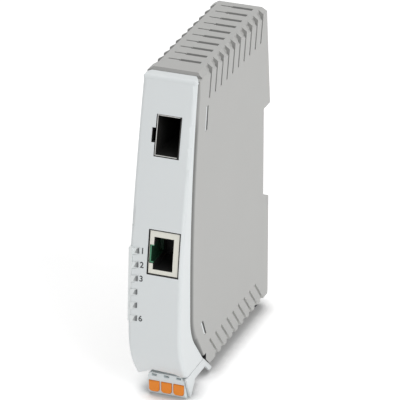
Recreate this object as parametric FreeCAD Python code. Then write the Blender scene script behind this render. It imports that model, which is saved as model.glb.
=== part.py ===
"""Fibre media converter for a 35 mm mounting rail: louvred grey housing, bowed white front cover,
module cage, network socket, status light guide, three-pole power plug and sprung rail latch.

Millimetres. +X is to the right seen from the front, +Y to the back, +Z up.
The origin lies under the middle of the overall box, at the level of the lowest edge.
"""
import FreeCAD, Part
import math
import os

V = FreeCAD.Vector

# ---- housing --------------------------------------------------------------------------------
BODY_W = 21.5            # width over the side walls
ROOF_Z = 127.0           # top of the roof
FLOOR_Z = 3.5            # underside of the floor
WALL = 1.9               # roof, floor, rear and side walls
ROOF_FRONT_Y = -23.8     # front edge of the roof
ROOF_BACK_Y = 43.0       # rear edge of the roof
REAR_Y = 47.25           # rearmost edge, over the rail notch
REAR_FOOT_Y = 46.2       # rear wall under the rail notch
NOTCH_TOP_Z = 86.2       # upper ledge of the rail notch
NOTCH_SEAT_Y = 40.4      # face that bears on the rail
NOTCH_H = 36.2           # height of the notch at its seat
NOTCH_RAMP_H = 2.8       # fall of the lower ledge towards the back
REAR_CORNER_R = 3.0      # rounded lower rear corner
CORNER_IN = 2.0          # long edge chamfer across the roof and floor
CORNER_DOWN = 1.3        # long edge chamfer down the side
NOSE_TILT = 42.0         # slope of the wall between floor and front opening, degrees
NOSE_LIP = 1.4           # height of that wall's upper end over the joint line's foot
BROW_DROP = 1.5          # fall of the roof's sloping front strip
DARK_HOLE = 1.5          # small hole at the foot of the joint line
RAIL_LIP = (8.0, 1.3, 41.7, 44.0)   # fixed upper lip: half width, drop, front and back face

# ---- joint line between housing and front cover ---------------------------------------------
SEAM_Y = -36.7           # foremost point of the joint line
SEAM_Z = 40.3            # height where its upper bow starts
SEAM_R = 432.0           # radius of the upper bow
SEAM_BREAK_Z = 32.5      # height where the lower bend starts
SEAM_BREAK_R = 19.0      # radius of the lower bend
SEAM_TILT = 40.0         # slope of the lower run, degrees
SEAM_FOOT_Z = 9.6        # lower end of the joint line
SEAM_GAP = 0.9           # open groove along the joint

# ---- front cover ----------------------------------------------------------------------------
COVER_W = 20.9           # width of the cover
COVER_WALL = 2.0         # front wall
COVER_SIDE = 1.6         # side flanges
COVER_DROP = 1.0         # top edge, under the roof
FRONT_Y = -47.2          # foremost point of the bowed front
BELLY_Z = 31.0           # height of that point
BELLY_R = 170.0          # radius of the bow over it
BELLY_END = 10.3         # lean where the long upper bow takes over, degrees
UPPER_R = 750.0          # radius of the long upper bow
BREAK_Z = 28.8           # height where the front turns under
BREAK_R = 30.0           # radius of that turn
BREAK_TILT = 37.0        # slope of the lower front, degrees
COVER_FOOT_Z = 7.1       # lower edge of the front wall
FLANGE_FOOT_Z = 9.7      # lower edge of the side flanges
COVER_EDGE_R = 1.4       # rounded long edges
COVER_TOP_R = 1.6        # rounded top edge
SNAP_FIT = 0.3           # clearance of the snap tongues inside the housing
SNAP_WALL = 0.9
SNAP_DEPTH = 13.5        # how far a snap tongue reaches behind the joint line

# ---- louvres --------------------------------------------------------------------------------
ROOF_SLOTS = 10
ROOF_PITCH = 6.0
ROOF_SLOT_Y = 39.0       # rearmost roof slot
ROOF_LEAN = -12.4        # lean of the roof louvres, degrees
FLOOR_SLOTS = 9
FLOOR_PITCH = 6.1
FLOOR_SLOT_Y = 31.7      # upper end of the rearmost floor louvre
FLOOR_SLOT_Z = 15.1
FLOOR_LEAN = 41.3        # lean of the floor louvres, degrees
SLOT_W = 1.7             # open slots
SLOT_X0, SLOT_X1 = -1.9, 6.4
THIN_W = 0.7             # narrow end of each slot, beside the board rails
THIN_X0 = -6.4
GROOVE_W = 1.1           # grooves down the side walls
GROOVE_DEEP = 1.15
GROOVE_END_Z = 114.8     # lower ends of the roof grooves
POCKET_W = 2.3           # wider pocket of each groove at the long edge
POCKET_DEEP = 1.95
POCKET_H = 1.2           # full depth down to here
POCKET_END = 3.4         # lower end of its sloping floor

# ---- snap windows: (top y, top z, bottom y, bottom z) of each centre line ---------------------
UPPER_WINDOW = (-19.6, 112.3, -21.1, 103.0)
LOWER_WINDOW = (-25.2, 26.2, -21.9, 19.5)
WINDOW_W = 2.2
HOOK_FIT = 0.12
HOOK_W = 0.95
HOOK_SINK = 0.1          # hook face under the side wall's face

# ---- circuit board --------------------------------------------------------------------------
BOARD_X = -3.6           # face that carries the parts
BOARD_T = 1.6
BOARD_DROP = 4.7         # top edge, under the roof
BOARD_FOOT_Z = 13.5
BOARD_BACK_Y = 37.8
BOARD_FIT = 0.25         # clearance in the rails
RAIL_T = 1.1             # board rails under the roof
RAIL_GRIP = 1.5          # how far a rail reaches past the board's edge
RAIL_Y0, RAIL_Y1 = -8.0, 36.0
BOARD_STEPS = ((-26.0, 27.0), (-34.0, 53.0))   # front edge: depth, and drop under the roof
BOARD_TOE_Y = -28.6      # front edge beside the power header
BOARD_TOE_GAP = 0.6      # board over the power header
SOLDER = 0.1             # lift of the parts off the board

# ---- module cage ----------------------------------------------------------------------------
CAGE_DROP = 22.1         # centre, under the roof
CAGE_IN_W = 14.3         # inside, along Z
CAGE_IN_H = 8.8          # inside, along X
CAGE_T = 0.3
CAGE_FRONT_Y = -37.0
CAGE_L = 46.0
CAGE_FIT = 0.25          # clearance of the cover round the cage
KEY_H = 5.4              # latch notch beside the cage
KEY_D = 1.3
FINGERS = 4              # earthing fingers on each long side
FINGER_L = 6.5
FINGER_W = 2.2
FINGER_T = 0.15
FINGER_PROUD = 0.55

# ---- network socket -------------------------------------------------------------------------
JACK_Z = 61.8            # centre height
JACK_W = 16.2            # along Z
JACK_H = 11.55           # along X
JACK_X0 = -2.8
JACK_BACK_Y = -26.5
JACK_T = 0.3
JACK_FIT = 0.3           # gap between collar and cover
COLLAR_BACK_Y = -40.2    # back of the socket's collar
COLLAR_IN = 0.3          # set-back of the collar and the cage behind the bowed front
PORT_Z = 61.5            # centre of the opening
PORT_W = 12.3            # opening along Z
PORT_H = 7.75            # opening along X
PORT_X0 = -1.1
PORT_BACK_Y = -30.5
KEYWAY_Z = 61.1          # latch slot beside the opening
KEYWAY_W = 7.0
KEYWAY_D = 1.55
KEYWAY_BACK_Y = -33.0
KEYWAY_FIT = 0.05
JACK_CONTACTS = 8
JACK_PITCH = 1.02
JACK_WIRE = 0.45

# ---- status lights --------------------------------------------------------------------------
LIGHTS = 6
LIGHT_PITCH = 5.32
LIGHT_TOP_Z = 61.6       # uppermost light
LIGHT_X = -7.0           # light windows
GUIDE_X0, GUIDE_X1 = -10.4, -9.2
GUIDE_TOP_Z = 62.8
GUIDE_FOOT_Z = 33.6
GUIDE_TOP_Y = -45.3      # front of the guide at its upper end
GUIDE_FOOT_Y = -47.2     # and at its lower end
GUIDE_T = 2.6
GUIDE_FIT = 0.03
STEM = 1.6               # side of the square stems behind the guide
STEM_X0 = -8.2
STEM_END_Y = -30.1
LED_SIZE = (0.8, 2.0, 1.6)
LED_Y = -31.0

# ---- power plug and its socket --------------------------------------------------------------
POLES = 3
POLE_PITCH = 4.9
POLE_X = 2.1             # middle pole
PLUG_W = 14.6
PLUG_FRONT_Y = -39.8
PLUG_BACK_Y = -31.2
PLUG_TOP_Z = 9.4
PLUG_FOOT_Z = 0.0
PLUG_EDGE = 1.6          # chamfers of the plug's upper corners
ARCH_FIT = 0.5           # cover arch over the plug's shoulders
TONGUE_Y0, TONGUE_Y1 = -37.0, -31.8    # part of the plug inside the socket
TONGUE_W = 12.4
TONGUE_TOP_Z = 17.0
TONGUE_FIT = 0.1
HEADER_WALL = 0.4
HEADER_FOOT_Z = 10.4
HEADER_TOP_Z = 19.0
PULL = 8.5               # travel that frees the plug
CHAMBER = 1.0            # half side of the square chamber of a pole
CHAMBER_FOOT_Z = 3.2
CHAMBER_TOP_Z = 16.2
CLIP = 0.9               # half side of the contact clip
CLIP_T = 0.22
CLIP_FOOT_Z = 8.8
PIN = 0.7                # side of the square pins
PIN_FOOT_Z = 10.8
PIN_RISE = 2.0           # step between the pins' bends
FUNNEL_R = 1.2
LEVER_W = 4.1
LEVER_Z0, LEVER_Z1 = 1.6, 6.0
LEVER_PROUD = 0.5
LEVER_T = 1.7
LEVER_TRAVEL = 0.6
LEVER_FIT = 0.12
LEVER_STOP = 0.3         # free space behind a pressed lever
TEST_SLOT = (2.0, 1.0, 1.2, 8.0)       # test slots over the levers: width, height, depth, foot
SPRING_T = 0.25

# ---- plug frame -----------------------------------------------------------------------------
FRAME_SIDE = 10.45       # half width
CHEEK_T = 0.75
FRAME_TOP_Z = 9.4
FRAME_FOOT_Z = 5.4
FRAME_FIT = 0.3          # clearance to the plug and the housing
FRAME_PLATE = 1.5
CHEEK_FRONT_Y = -41.0
CHEEK_TIP_Y = -36.6      # lowest point of the front cheek
CHEEK_TIP_T = 0.9
HOOK_DROP = 8.0          # fall of the rear hooks from the frame's top
HOOK_T = 2.9             # thickness of the hooks, level

# ---- rail latch -----------------------------------------------------------------------------
LATCH_HALF = 7.5         # half width
LATCH_Y0, LATCH_Y1 = 41.7, 44.6
LATCH_TOP_Z = 52.2
LATCH_NOSE = 1.3         # bevel of the nose
LATCH_TRAVEL = 3.2
LATCH_FIT = 0.3
CHANNEL_WALL = 1.3
WINDOW_HALF = 2.2        # opening in the latch for its spring
WINDOW_Z0, WINDOW_Z1 = 15.0, 34.0
PULL_SLOT = (4.0, 1.2, 1.2)            # slot in the pull tab: width, height, foot
PEG_H = 1.6              # housing peg that carries the spring
SPRING_R = 1.0
SPRING_WIRE = 0.35
SPRING_TURNS = 6

# ---- parts of the board: (y, z, size y, size z, height) -------------------------------------
CONVERTER = (5.0, 88.0, 14.0, 14.0, 1.4)
PHY = (-3.0, 66.0, 10.0, 10.0, 1.2)
TRANSFORMER = (-17.0, 62.0, 12.7, 16.0, 6.0)
CRYSTAL = (19.0, 91.0, 4.8, 11.2, 3.5)
FUSE = (-19.0, 34.0, 2.7, 6.1, 2.7)
INDUCTOR = (16.0, 32.0, 12.0, 12.0, 6.8)
CAPACITORS = ((-11.0, 30.0), (0.0, 30.0))
CAPACITOR_R = 4.0
CAPACITOR_L = 10.2
CHIP_CAPACITORS = ((-6.0, 80.0, 5), (16.0, 72.0, 4), (4.0, 44.0, 4))   # row starts and counts
CHIP_CAPACITOR = (1.6, 0.8, 0.8)
CHIP_PITCH = 2.4

COVER_TOP_Z = ROOF_Z - COVER_DROP
CAGE_Z = ROOF_Z - CAGE_DROP
BOARD_TOP_Z = ROOF_Z - BOARD_DROP

os.makedirs("parts", exist_ok=True)


def save(shape, node):
    """Write one node."""
    shape.exportStep("parts/%s.step" % node)


def box(x0, x1, y0, y1, z0, z1):
    """Block between two corners."""
    return Part.makeBox(x1 - x0, y1 - y0, z1 - z0, V(x0, y0, z0))


def prism_x(path, x0, x1):
    """Extrude a closed outline of the side view from x0 to x1.

    The path holds (y, z) corners; a pair of them is an arc's middle and end.
    """
    edges = []
    start = here = path[0]
    for step in path[1:] + [start]:
        if isinstance(step[0], tuple):
            middle, end = step
            edges.append(Part.Arc(V(x0, *here), V(x0, *middle), V(x0, *end)).toShape())
        else:
            end = step
            edges.append(Part.makeLine(V(x0, *here), V(x0, *end)))
        here = end
    return Part.Face(Part.Wire(edges)).extrude(V(x1 - x0, 0, 0))


def prism_y(points, y0, y1):
    """Extrude a closed polygon of the front view, given as (x, z), from y0 to y1."""
    wire = Part.makePolygon([V(x, y0, z) for x, z in points + [points[0]]])
    return Part.Face(wire).extrude(V(0, y1 - y0, 0))


def mirrored(shape):
    """The shape and its mirror image across the middle plane."""
    return [shape, shape.mirror(V(0, 0, 0), V(1, 0, 0))]


def fuse(solids):
    """One shape from several solids that touch or overlap."""
    return solids[0].multiFuse(solids[1:]).removeSplitter() if len(solids) > 1 else solids[0]


# ---- curves of the side view ----------------------------------------------------------------

def arc_point(centre, radius, degrees):
    """Point on a front curve, at a lean measured from level, positive above the centre."""
    a = math.radians(degrees)
    return (centre[0] - radius * math.cos(a), centre[1] + radius * math.sin(a))


def lean_at(centre, radius, z):
    """Lean of a front curve where it passes the height z."""
    return math.degrees(math.asin((z - centre[1]) / radius))


BELLY_C = (FRONT_Y + BELLY_R, BELLY_Z)
UPPER_C = (BELLY_C[0] + (UPPER_R - BELLY_R) * math.cos(math.radians(BELLY_END)),
           BELLY_C[1] - (UPPER_R - BELLY_R) * math.sin(math.radians(BELLY_END)))
BREAK_C = (FRONT_Y + BREAK_R, BREAK_Z)


def front_line(inset, top_z, foot_z):
    """The bowed front from top_z down to foot_z, moved inwards by the inset."""
    upper, belly, turn = UPPER_R - inset, BELLY_R - inset, BREAK_R - inset
    top = lean_at(UPPER_C, upper, top_z)
    bend = arc_point(BREAK_C, turn, -BREAK_TILT)
    foot_y = bend[0] + (bend[1] - foot_z) * math.tan(math.radians(BREAK_TILT))
    return [arc_point(UPPER_C, upper, top),
            (arc_point(UPPER_C, upper, (top + BELLY_END) / 2), arc_point(UPPER_C, upper, BELLY_END)),
            (arc_point(BELLY_C, belly, BELLY_END / 2), arc_point(BELLY_C, belly, 0)),
            (FRONT_Y + inset, BREAK_Z),
            (arc_point(BREAK_C, turn, -BREAK_TILT / 2), bend),
            (foot_y, foot_z)]


def front_y(z):
    """Depth of the cover's front at the height z, over the belly."""
    if z > UPPER_C[1] + UPPER_R * math.sin(math.radians(BELLY_END)):
        return arc_point(UPPER_C, UPPER_R, lean_at(UPPER_C, UPPER_R, z))[0]
    return arc_point(BELLY_C, BELLY_R, lean_at(BELLY_C, BELLY_R, z))[0]


def seam_line(shift, top_z, foot_z):
    """The joint line from foot_z up to top_z, moved back by the shift."""
    bow = (SEAM_Y + SEAM_R, SEAM_Z)
    turn = (SEAM_Y + SEAM_BREAK_R, SEAM_BREAK_Z)
    top = lean_at(bow, SEAM_R, top_z)
    bend = arc_point(turn, SEAM_BREAK_R, -SEAM_TILT)
    foot_y = bend[0] + (bend[1] - foot_z) * math.tan(math.radians(SEAM_TILT))
    half = SEAM_TILT / 2
    line = [(foot_y, foot_z), bend,
            (arc_point(turn, SEAM_BREAK_R, -half), arc_point(turn, SEAM_BREAK_R, 0)),
            arc_point(bow, SEAM_R, 0),
            (arc_point(bow, SEAM_R, top / 2), arc_point(bow, SEAM_R, top))]
    return [tuple((y + shift, z) for y, z in step) if isinstance(step[0], tuple)
            else (step[0] + shift, step[1]) for step in line]


# ---- housing --------------------------------------------------------------------------------

SIDE = BODY_W / 2
INSIDE = SIDE - WALL
NOTCH_FOOT_Z = NOTCH_TOP_Z - NOTCH_H


def housing_outline(inset):
    """Closed side outline of the housing, with its walls moved in by the inset."""
    i = inset
    tilt = math.radians(NOSE_TILT)
    lip = NOSE_LIP if i else 0.0
    seam = seam_line(SEAM_GAP, ROOF_Z - BROW_DROP - i, SEAM_FOOT_Z + lip)
    foot = seam_line(SEAM_GAP, ROOF_Z, SEAM_FOOT_Z)[0][0] + i / math.sin(tilt)
    lean = (REAR_Y - ROOF_BACK_Y) / (ROOF_Z - NOTCH_TOP_Z)
    ramp = NOTCH_RAMP_H / (REAR_FOOT_Y - NOTCH_SEAT_Y)
    r = max(REAR_CORNER_R - i, 0.5)
    k = r * (1 - math.sqrt(0.5))
    back_y, foot_z = REAR_FOOT_Y - i, FLOOR_Z + i
    outline = seam + [
        (ROOF_FRONT_Y + i / 2, ROOF_Z - i),
        (ROOF_BACK_Y - i, ROOF_Z - i),
        (REAR_Y - i - lean * i, NOTCH_TOP_Z + i),
        (NOTCH_SEAT_Y - i, NOTCH_TOP_Z + i),
        (NOTCH_SEAT_Y - i, NOTCH_FOOT_Z - i * (1 - ramp / 2)),
        (back_y, NOTCH_FOOT_Z - NOTCH_RAMP_H - i),
        (back_y, foot_z + r),
        ((back_y - k, foot_z + k), (back_y - r, foot_z)),
        (foot + (SEAM_FOOT_Z - foot_z) / math.tan(tilt), foot_z)]
    if lip:
        outline.append((foot - lip / math.tan(tilt), SEAM_FOOT_Z + lip))
    return outline


def side_groove(y, z, length, lean, up):
    """Cutters for one groove down each side wall, with its wider pocket at the long edge."""
    s = 1 if up else -1
    deep = SIDE - GROOVE_DEEP
    out = SIDE + 1.0
    edge = SIDE - POCKET_DEEP
    groove = prism_y([(deep, z + s), (out, z + s), (out, z - s * length), (deep, z - s * length)],
                     y - GROOVE_W / 2, y + GROOVE_W / 2)
    pocket = prism_y([(edge, z + s), (out, z + s), (out, z - s * POCKET_END),
                      (SIDE, z - s * POCKET_END), (edge, z - s * POCKET_H)],
                     y + GROOVE_W / 2 - POCKET_W, y + GROOVE_W / 2)
    cutters = []
    for cutter in (groove, pocket):
        cutter.rotate(V(0, y, z), V(1, 0, 0), lean)
        cutters += mirrored(cutter)
    return cutters


def wall_slot(x0, x1, y, z, width, lean):
    """Cutter for a leaning slot through the roof or the floor."""
    reach = 2.2 * WALL
    cutter = box(x0, x1, y - width / 2, y + width / 2, z - reach, z + reach)
    cutter.rotate(V(0, y, z), V(1, 0, 0), lean)
    return cutter


def louvres():
    """Every slot and groove of the roof and the floor."""
    cuts = []
    for n in range(ROOF_SLOTS):
        y = ROOF_SLOT_Y - n * ROOF_PITCH
        length = (ROOF_Z - GROOVE_END_Z) / math.cos(math.radians(ROOF_LEAN))
        cuts += side_groove(y, ROOF_Z, length, ROOF_LEAN, True)
        cuts.append(wall_slot(SLOT_X0, SLOT_X1, y, ROOF_Z, SLOT_W, ROOF_LEAN))
        cuts.append(wall_slot(THIN_X0, SLOT_X0 + 0.1, y, ROOF_Z, THIN_W, ROOF_LEAN))
    for n in range(FLOOR_SLOTS):
        drop = FLOOR_SLOT_Z - FLOOR_Z
        y = FLOOR_SLOT_Y - n * FLOOR_PITCH + drop * math.tan(math.radians(FLOOR_LEAN))
        length = drop / math.cos(math.radians(FLOOR_LEAN))
        if y < LATCH_Y0 - CHANNEL_WALL - SLOT_W:
            cuts.append(wall_slot(SLOT_X0, SLOT_X1, y, FLOOR_Z, SLOT_W, FLOOR_LEAN))
            cuts.append(wall_slot(THIN_X0, SLOT_X0 + 0.1, y, FLOOR_Z, THIN_W, FLOOR_LEAN))
        cuts += side_groove(y, FLOOR_Z, length, FLOOR_LEAN, False)
    return cuts


def snap_block(window, width, x0, x1, ahead=0.0, trim=0.0):
    """Slanted block on a window's centre line, for the window itself or the hook inside it."""
    top_y, top_z, foot_y, foot_z = window
    w = width / 2
    return prism_x([(top_y - w + ahead, top_z - trim), (top_y + w + ahead, top_z - trim),
                    (foot_y + w + ahead, foot_z + trim), (foot_y - w + ahead, foot_z + trim)], x0, x1)


def housing():
    """Louvred housing: one moulding, open at the front, with rail notch and latch channel."""
    shell = prism_x(housing_outline(0.0), -SIDE, SIDE)
    hollow = prism_x(housing_outline(WALL), -INSIDE, INSIDE)
    mouth = hollow.copy()
    mouth.translate(V(0, -SEAM_GAP, 0))
    gap = LATCH_HALF + LATCH_FIT
    channel_block = box(-gap - CHANNEL_WALL, gap + CHANNEL_WALL,
                        LATCH_Y0 - LATCH_FIT - CHANNEL_WALL, REAR_Y, 0, NOTCH_FOOT_Z)
    hollow = fuse([hollow, mouth.common(box(-SIDE, SIDE, -60, -20, SEAM_FOOT_Z + NOSE_LIP, 140))])
    shell = shell.cut(hollow.cut(channel_block))
    corner = prism_y([(SIDE - CORNER_IN, ROOF_Z), (SIDE, ROOF_Z), (SIDE, ROOF_Z - CORNER_DOWN)],
                     -60, 60)
    sole = prism_y([(SIDE - CORNER_IN, FLOOR_Z), (SIDE, FLOOR_Z), (SIDE, FLOOR_Z + CORNER_DOWN)],
                   -60, 60)
    channel = box(-gap, gap, LATCH_Y0 - LATCH_FIT, LATCH_Y1 + LATCH_FIT, 0, NOTCH_FOOT_Z + 5)
    hole_y = seam_line(SEAM_GAP, ROOF_Z, SEAM_FOOT_Z)[0][0]
    hole = box(INSIDE - 1, SIDE + 1, hole_y - DARK_HOLE / 2, hole_y + DARK_HOLE * 0.8,
               SEAM_FOOT_Z - DARK_HOLE * 0.3, SEAM_FOOT_Z + DARK_HOLE)
    cuts = mirrored(corner) + mirrored(sole) + mirrored(hole) + [channel] + louvres()
    for window in (UPPER_WINDOW, LOWER_WINDOW):
        cuts += mirrored(snap_block(window, WINDOW_W, INSIDE - 1, SIDE + 1))
    shell = shell.cut(cuts)
    peg = box(-WINDOW_HALF + LATCH_FIT, WINDOW_HALF - LATCH_FIT, LATCH_Y0 - LATCH_FIT - 0.2,
              LATCH_Y1 - LATCH_FIT, WINDOW_Z0 + LATCH_FIT, WINDOW_Z0 + LATCH_FIT + PEG_H)
    half, drop, y0, y1 = RAIL_LIP
    lip = box(-half, half, y0, y1, NOTCH_TOP_Z - drop, NOTCH_TOP_Z + 0.5)
    return fuse([shell, peg, lip] + board_rails())


def board_rails():
    """Two pairs of rails that hold the board's upper and lower edges."""
    rails = []
    lane = (BOARD_X - BOARD_T - BOARD_FIT, BOARD_X + BOARD_FIT)
    for x0, x1 in ((lane[0] - RAIL_T, lane[0]), (lane[1], lane[1] + RAIL_T)):
        rails.append(box(x0, x1, RAIL_Y0, RAIL_Y1, BOARD_TOP_Z - RAIL_GRIP, ROOF_Z - WALL / 2))
        rails.append(box(x0, x1, RAIL_Y0, RAIL_Y1, FLOOR_Z + WALL / 2, BOARD_FOOT_Z + RAIL_GRIP))
    return rails


# ---- front cover ----------------------------------------------------------------------------

def cover_body(half, front_inset, top_z, seam_shift, foot_z):
    """Solid between the bowed front and the joint line, over the given half width."""
    front = front_line(front_inset, top_z, foot_z)
    back = seam_line(seam_shift, top_z, SEAM_FOOT_Z)
    return prism_x(front + [(back[0][0] - 0.5, foot_z)] + back, -half, half)


def face_block(x0, x1, z0, z1, depth=COVER_WALL + 3.0):
    """Cutter through the front wall, level along Y."""
    return box(x0, x1, front_y(z1) - 6.0, front_y(z0) + depth + 4.0, z0, z1)


def front_cover():
    """Bowed white cover with its ports, plug arch, snap tongues and hooks."""
    half = COVER_W / 2
    inner = half - COVER_SIDE
    top_z = COVER_TOP_Z
    outer = cover_body(half, 0.0, top_z, 0.0, COVER_FOOT_Z)
    front = {(round(y, 2), round(z, 2)) for y, z in
             [step[-1] if isinstance(step[0], tuple) else step
              for step in front_line(0.0, top_z, COVER_FOOT_Z)]}
    long_edges = [e for e in outer.Edges
                  if all((round(v.Y, 2), round(v.Z, 2)) in front for v in e.Vertexes)
                  and abs(e.Vertexes[0].Z - e.Vertexes[-1].Z) > 0.1]
    outer = outer.makeFillet(COVER_EDGE_R, long_edges)
    slab = cover_body(half + 1, 0.0, top_z, 0.0, COVER_FOOT_Z)
    brow = [e for e in slab.Edges
            if all(abs(v.Z - top_z) < 0.01 and v.Y < front_y(top_z) + 0.1 for v in e.Vertexes)]
    outer = outer.common(slab.makeFillet(COVER_TOP_R, brow))
    hollow = cover_body(inner, COVER_WALL, top_z - COVER_SIDE, 8.0, COVER_FOOT_Z)
    shell = outer.cut(hollow)
    far = half + 1
    flange_trim = box(-far, far, PLUG_BACK_Y - 5.0, 0, 0, FLANGE_FOOT_Z)
    jack = face_block(JACK_X0 - JACK_FIT, JACK_X1 + JACK_FIT,
                      JACK_Z - JACK_W / 2 - JACK_FIT, JACK_Z + JACK_W / 2 + JACK_FIT)
    cage = face_block(CAGE_X0 - CAGE_FIT, CAGE_X1 + CAGE_FIT,
                      CAGE_Z - CAGE_OUT_W / 2 - CAGE_FIT, CAGE_Z + CAGE_OUT_W / 2 + CAGE_FIT)
    key = face_block(CAGE_X0 - CAGE_FIT - KEY_D, CAGE_X0, CAGE_Z - KEY_H / 2, CAGE_Z + KEY_H / 2)
    seat = guide_bar(GUIDE_FIT, GUIDE_T + GUIDE_FIT, 3.0)
    cuts = [flange_trim, arch_cutter(), jack, cage, key, seat] + light_windows() + stem_holes()
    return fuse([shell.cut(cuts)] + snap_tongues())


def arch_cutter():
    """Opening round the plug in the lower edge of the front wall."""
    far = COVER_W / 2 + 1
    left, right = POLE_X - PLUG_W / 2, POLE_X + PLUG_W / 2
    z = PLUG_TOP_Z + ARCH_FIT
    return prism_y([(-far, 0), (-far, COVER_FOOT_Z - 0.5), (left - 1.0, z - 0.3),
                    (left + 2.5, z + 1.9), (right - 3.4, z + 1.1), (right - 1.2, FLANGE_FOOT_Z),
                    (far, FLANGE_FOOT_Z), (far, 0)], -60, PLUG_BACK_Y)


def snap_tongues():
    """Tongues on both sides that reach into the housing, with their hooks in its windows."""
    outer = INSIDE - SNAP_FIT
    inner = outer - SNAP_WALL
    pieces = []
    for window in (UPPER_WINDOW, LOWER_WINDOW):
        top_z, foot_z = window[1] + 1.0, window[3] - 0.4
        pieces += mirrored(seam_strip(inner, outer, foot_z, top_z, -1.8, SNAP_DEPTH))
        pieces += mirrored(seam_strip(inner, COVER_W / 2 - 0.5, foot_z, top_z, -1.8, -0.02))
        pieces += mirrored(snap_block(window, HOOK_W, inner + 0.1, SIDE - HOOK_SINK,
                                      (HOOK_W - WINDOW_W) / 2 + HOOK_FIT, HOOK_FIT))
    return pieces


def seam_strip(x0, x1, z0, z1, ahead, behind):
    """Upright strip that follows the joint line, between two shifts from it."""
    wide = cover_body(x1 + 5, 0.0, COVER_TOP_Z, behind, COVER_FOOT_Z)
    near = cover_body(x1 + 6, -2.0, COVER_TOP_Z, ahead, COVER_FOOT_Z)
    return wide.cut(near).common(box(x0, x1, -60, 0, z0, z1))


# ---- light guide ----------------------------------------------------------------------------

def guide_bar(grow, depth, ahead=0.0):
    """Straight bar along the cover's left edge, or the seat for it."""
    z0, z1 = GUIDE_FOOT_Z - grow, GUIDE_TOP_Z + grow
    return prism_x([(GUIDE_FOOT_Y - ahead, z0), (GUIDE_TOP_Y - ahead, z1),
                    (GUIDE_TOP_Y + depth, z1), (GUIDE_FOOT_Y + depth, z0)],
                   GUIDE_X0 - ahead, GUIDE_X1 + grow)


def light_heights():
    """Heights of the status lights, from the top."""
    return [LIGHT_TOP_Z - n * LIGHT_PITCH for n in range(LIGHTS)]


def fan(z, y0, y1, grow=0.0):
    """Fan that carries one light sideways from its window to the bar."""
    g = grow
    x0 = GUIDE_X1 - 0.3
    x1 = LIGHT_X + 0.5 + g
    return prism_y([(x0, z - 2.1 - g), (x0, z + 0.9 + g), (x1, z + 1.2 + g), (x1, z - 1.1 - g)],
                   y0, y1)


def light_windows():
    """Pockets for the fans in the front wall."""
    return [fan(z, front_y(z) - 3.0, front_y(z) + 0.95, GUIDE_FIT) for z in light_heights()]


def stem(z, y0, grow=0.0):
    """Square stem behind a light window, or the hole for it."""
    s = STEM / 2 + grow
    return box(STEM_X0 - grow, STEM_X0 + STEM + grow, y0, STEM_END_Y, z - s, z + s)


def stem_holes():
    """Holes that let the guide's stems through the front wall."""
    return [stem(z, front_y(z) - 1.0, GUIDE_FIT) for z in light_heights()]


def light_guide():
    """Clear guide: edge bar, six fans and six stems that reach back to the lights."""
    pieces = [guide_bar(0.0, GUIDE_T)]
    for z in light_heights():
        pieces.append(fan(z, front_y(z) - 0.1, front_y(z) + 0.8))
        pieces.append(stem(z, front_y(z) + 0.3))
    return fuse(pieces)


def led_chips():
    """Six lights on the solder side of the board."""
    dx, dy, dz = LED_SIZE
    x1 = BOARD_X - BOARD_T
    return Part.makeCompound([box(x1 - dx, x1, LED_Y - dy / 2, LED_Y + dy / 2, z - dz / 2, z + dz / 2)
                              for z in light_heights()])


# ---- board and its small parts --------------------------------------------------------------

def circuit_board():
    """Main board, stepped at the front behind the bowed cover."""
    back, top, foot = BOARD_BACK_Y, BOARD_TOP_Z, BOARD_FOOT_Z
    (y0, drop0), (y1, drop1) = BOARD_STEPS
    step = HEADER_TOP_Z + BOARD_TOE_GAP
    return prism_x([(back, foot), (back, top), (y0, top), (y0, ROOF_Z - drop0), (y1, ROOF_Z - drop1),
                    (y1, step), (BOARD_TOE_Y, step), (BOARD_TOE_Y, foot)],
                   BOARD_X - BOARD_T, BOARD_X)


def on_board(place):
    """Block on the board's face from (y, z, size y, size z, height)."""
    y, z, dy, dz, h = place
    x0 = BOARD_X + SOLDER
    return box(x0, x0 + h, y - dy / 2, y + dy / 2, z - dz / 2, z + dz / 2)


def bevelled(place, edge):
    """Block on the board with bevelled upper edges."""
    block = on_board(place)
    x1 = BOARD_X + SOLDER + place[4]
    return block.makeChamfer(edge, [e for e in block.Edges if all(abs(v.X - x1) < 0.01
                                                                  for v in e.Vertexes)])


def standing_can(y, z, radius, height):
    """Round can that stands on the board."""
    can = Part.makeCylinder(radius, height, V(BOARD_X + SOLDER, y, z), V(1, 0, 0))
    return can.makeChamfer(0.4, [e for e in can.Edges if len(e.Vertexes) == 1])


def chip_capacitors():
    """Rows of small ceramic capacitors."""
    dy, dz, h = CHIP_CAPACITOR
    return Part.makeCompound([on_board((y, z + n * CHIP_PITCH, dy, dz, h))
                              for y, z, count in CHIP_CAPACITORS for n in range(count)])


def crystal_can():
    """Clock crystal in a rounded metal can."""
    block = on_board(CRYSTAL)
    upright = [e for e in block.Edges if abs(e.Vertexes[0].X - e.Vertexes[-1].X) > 1]
    return block.makeFillet(CRYSTAL[2] * 0.45, upright)


# ---- module cage ----------------------------------------------------------------------------

CAGE_X0 = BOARD_X + SOLDER
CAGE_X1 = CAGE_X0 + CAGE_IN_H + 2 * CAGE_T
CAGE_OUT_W = CAGE_IN_W + 2 * CAGE_T
CAGE_BACK_Y = CAGE_FRONT_Y + CAGE_L
CONNECTOR_Y0, CONNECTOR_Y1 = CAGE_BACK_Y - 12.0, CAGE_BACK_Y - 3.0
CONNECTOR_HALF = 5.9
CONNECTOR_H = 6.2
CARD_X = CAGE_X0 + 4.2


def behind_front(inset):
    """Everything behind the bowed front, moved back by the inset."""
    return cover_body(40.0, inset, COVER_TOP_Z, 90.0, COVER_FOOT_Z)


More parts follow.
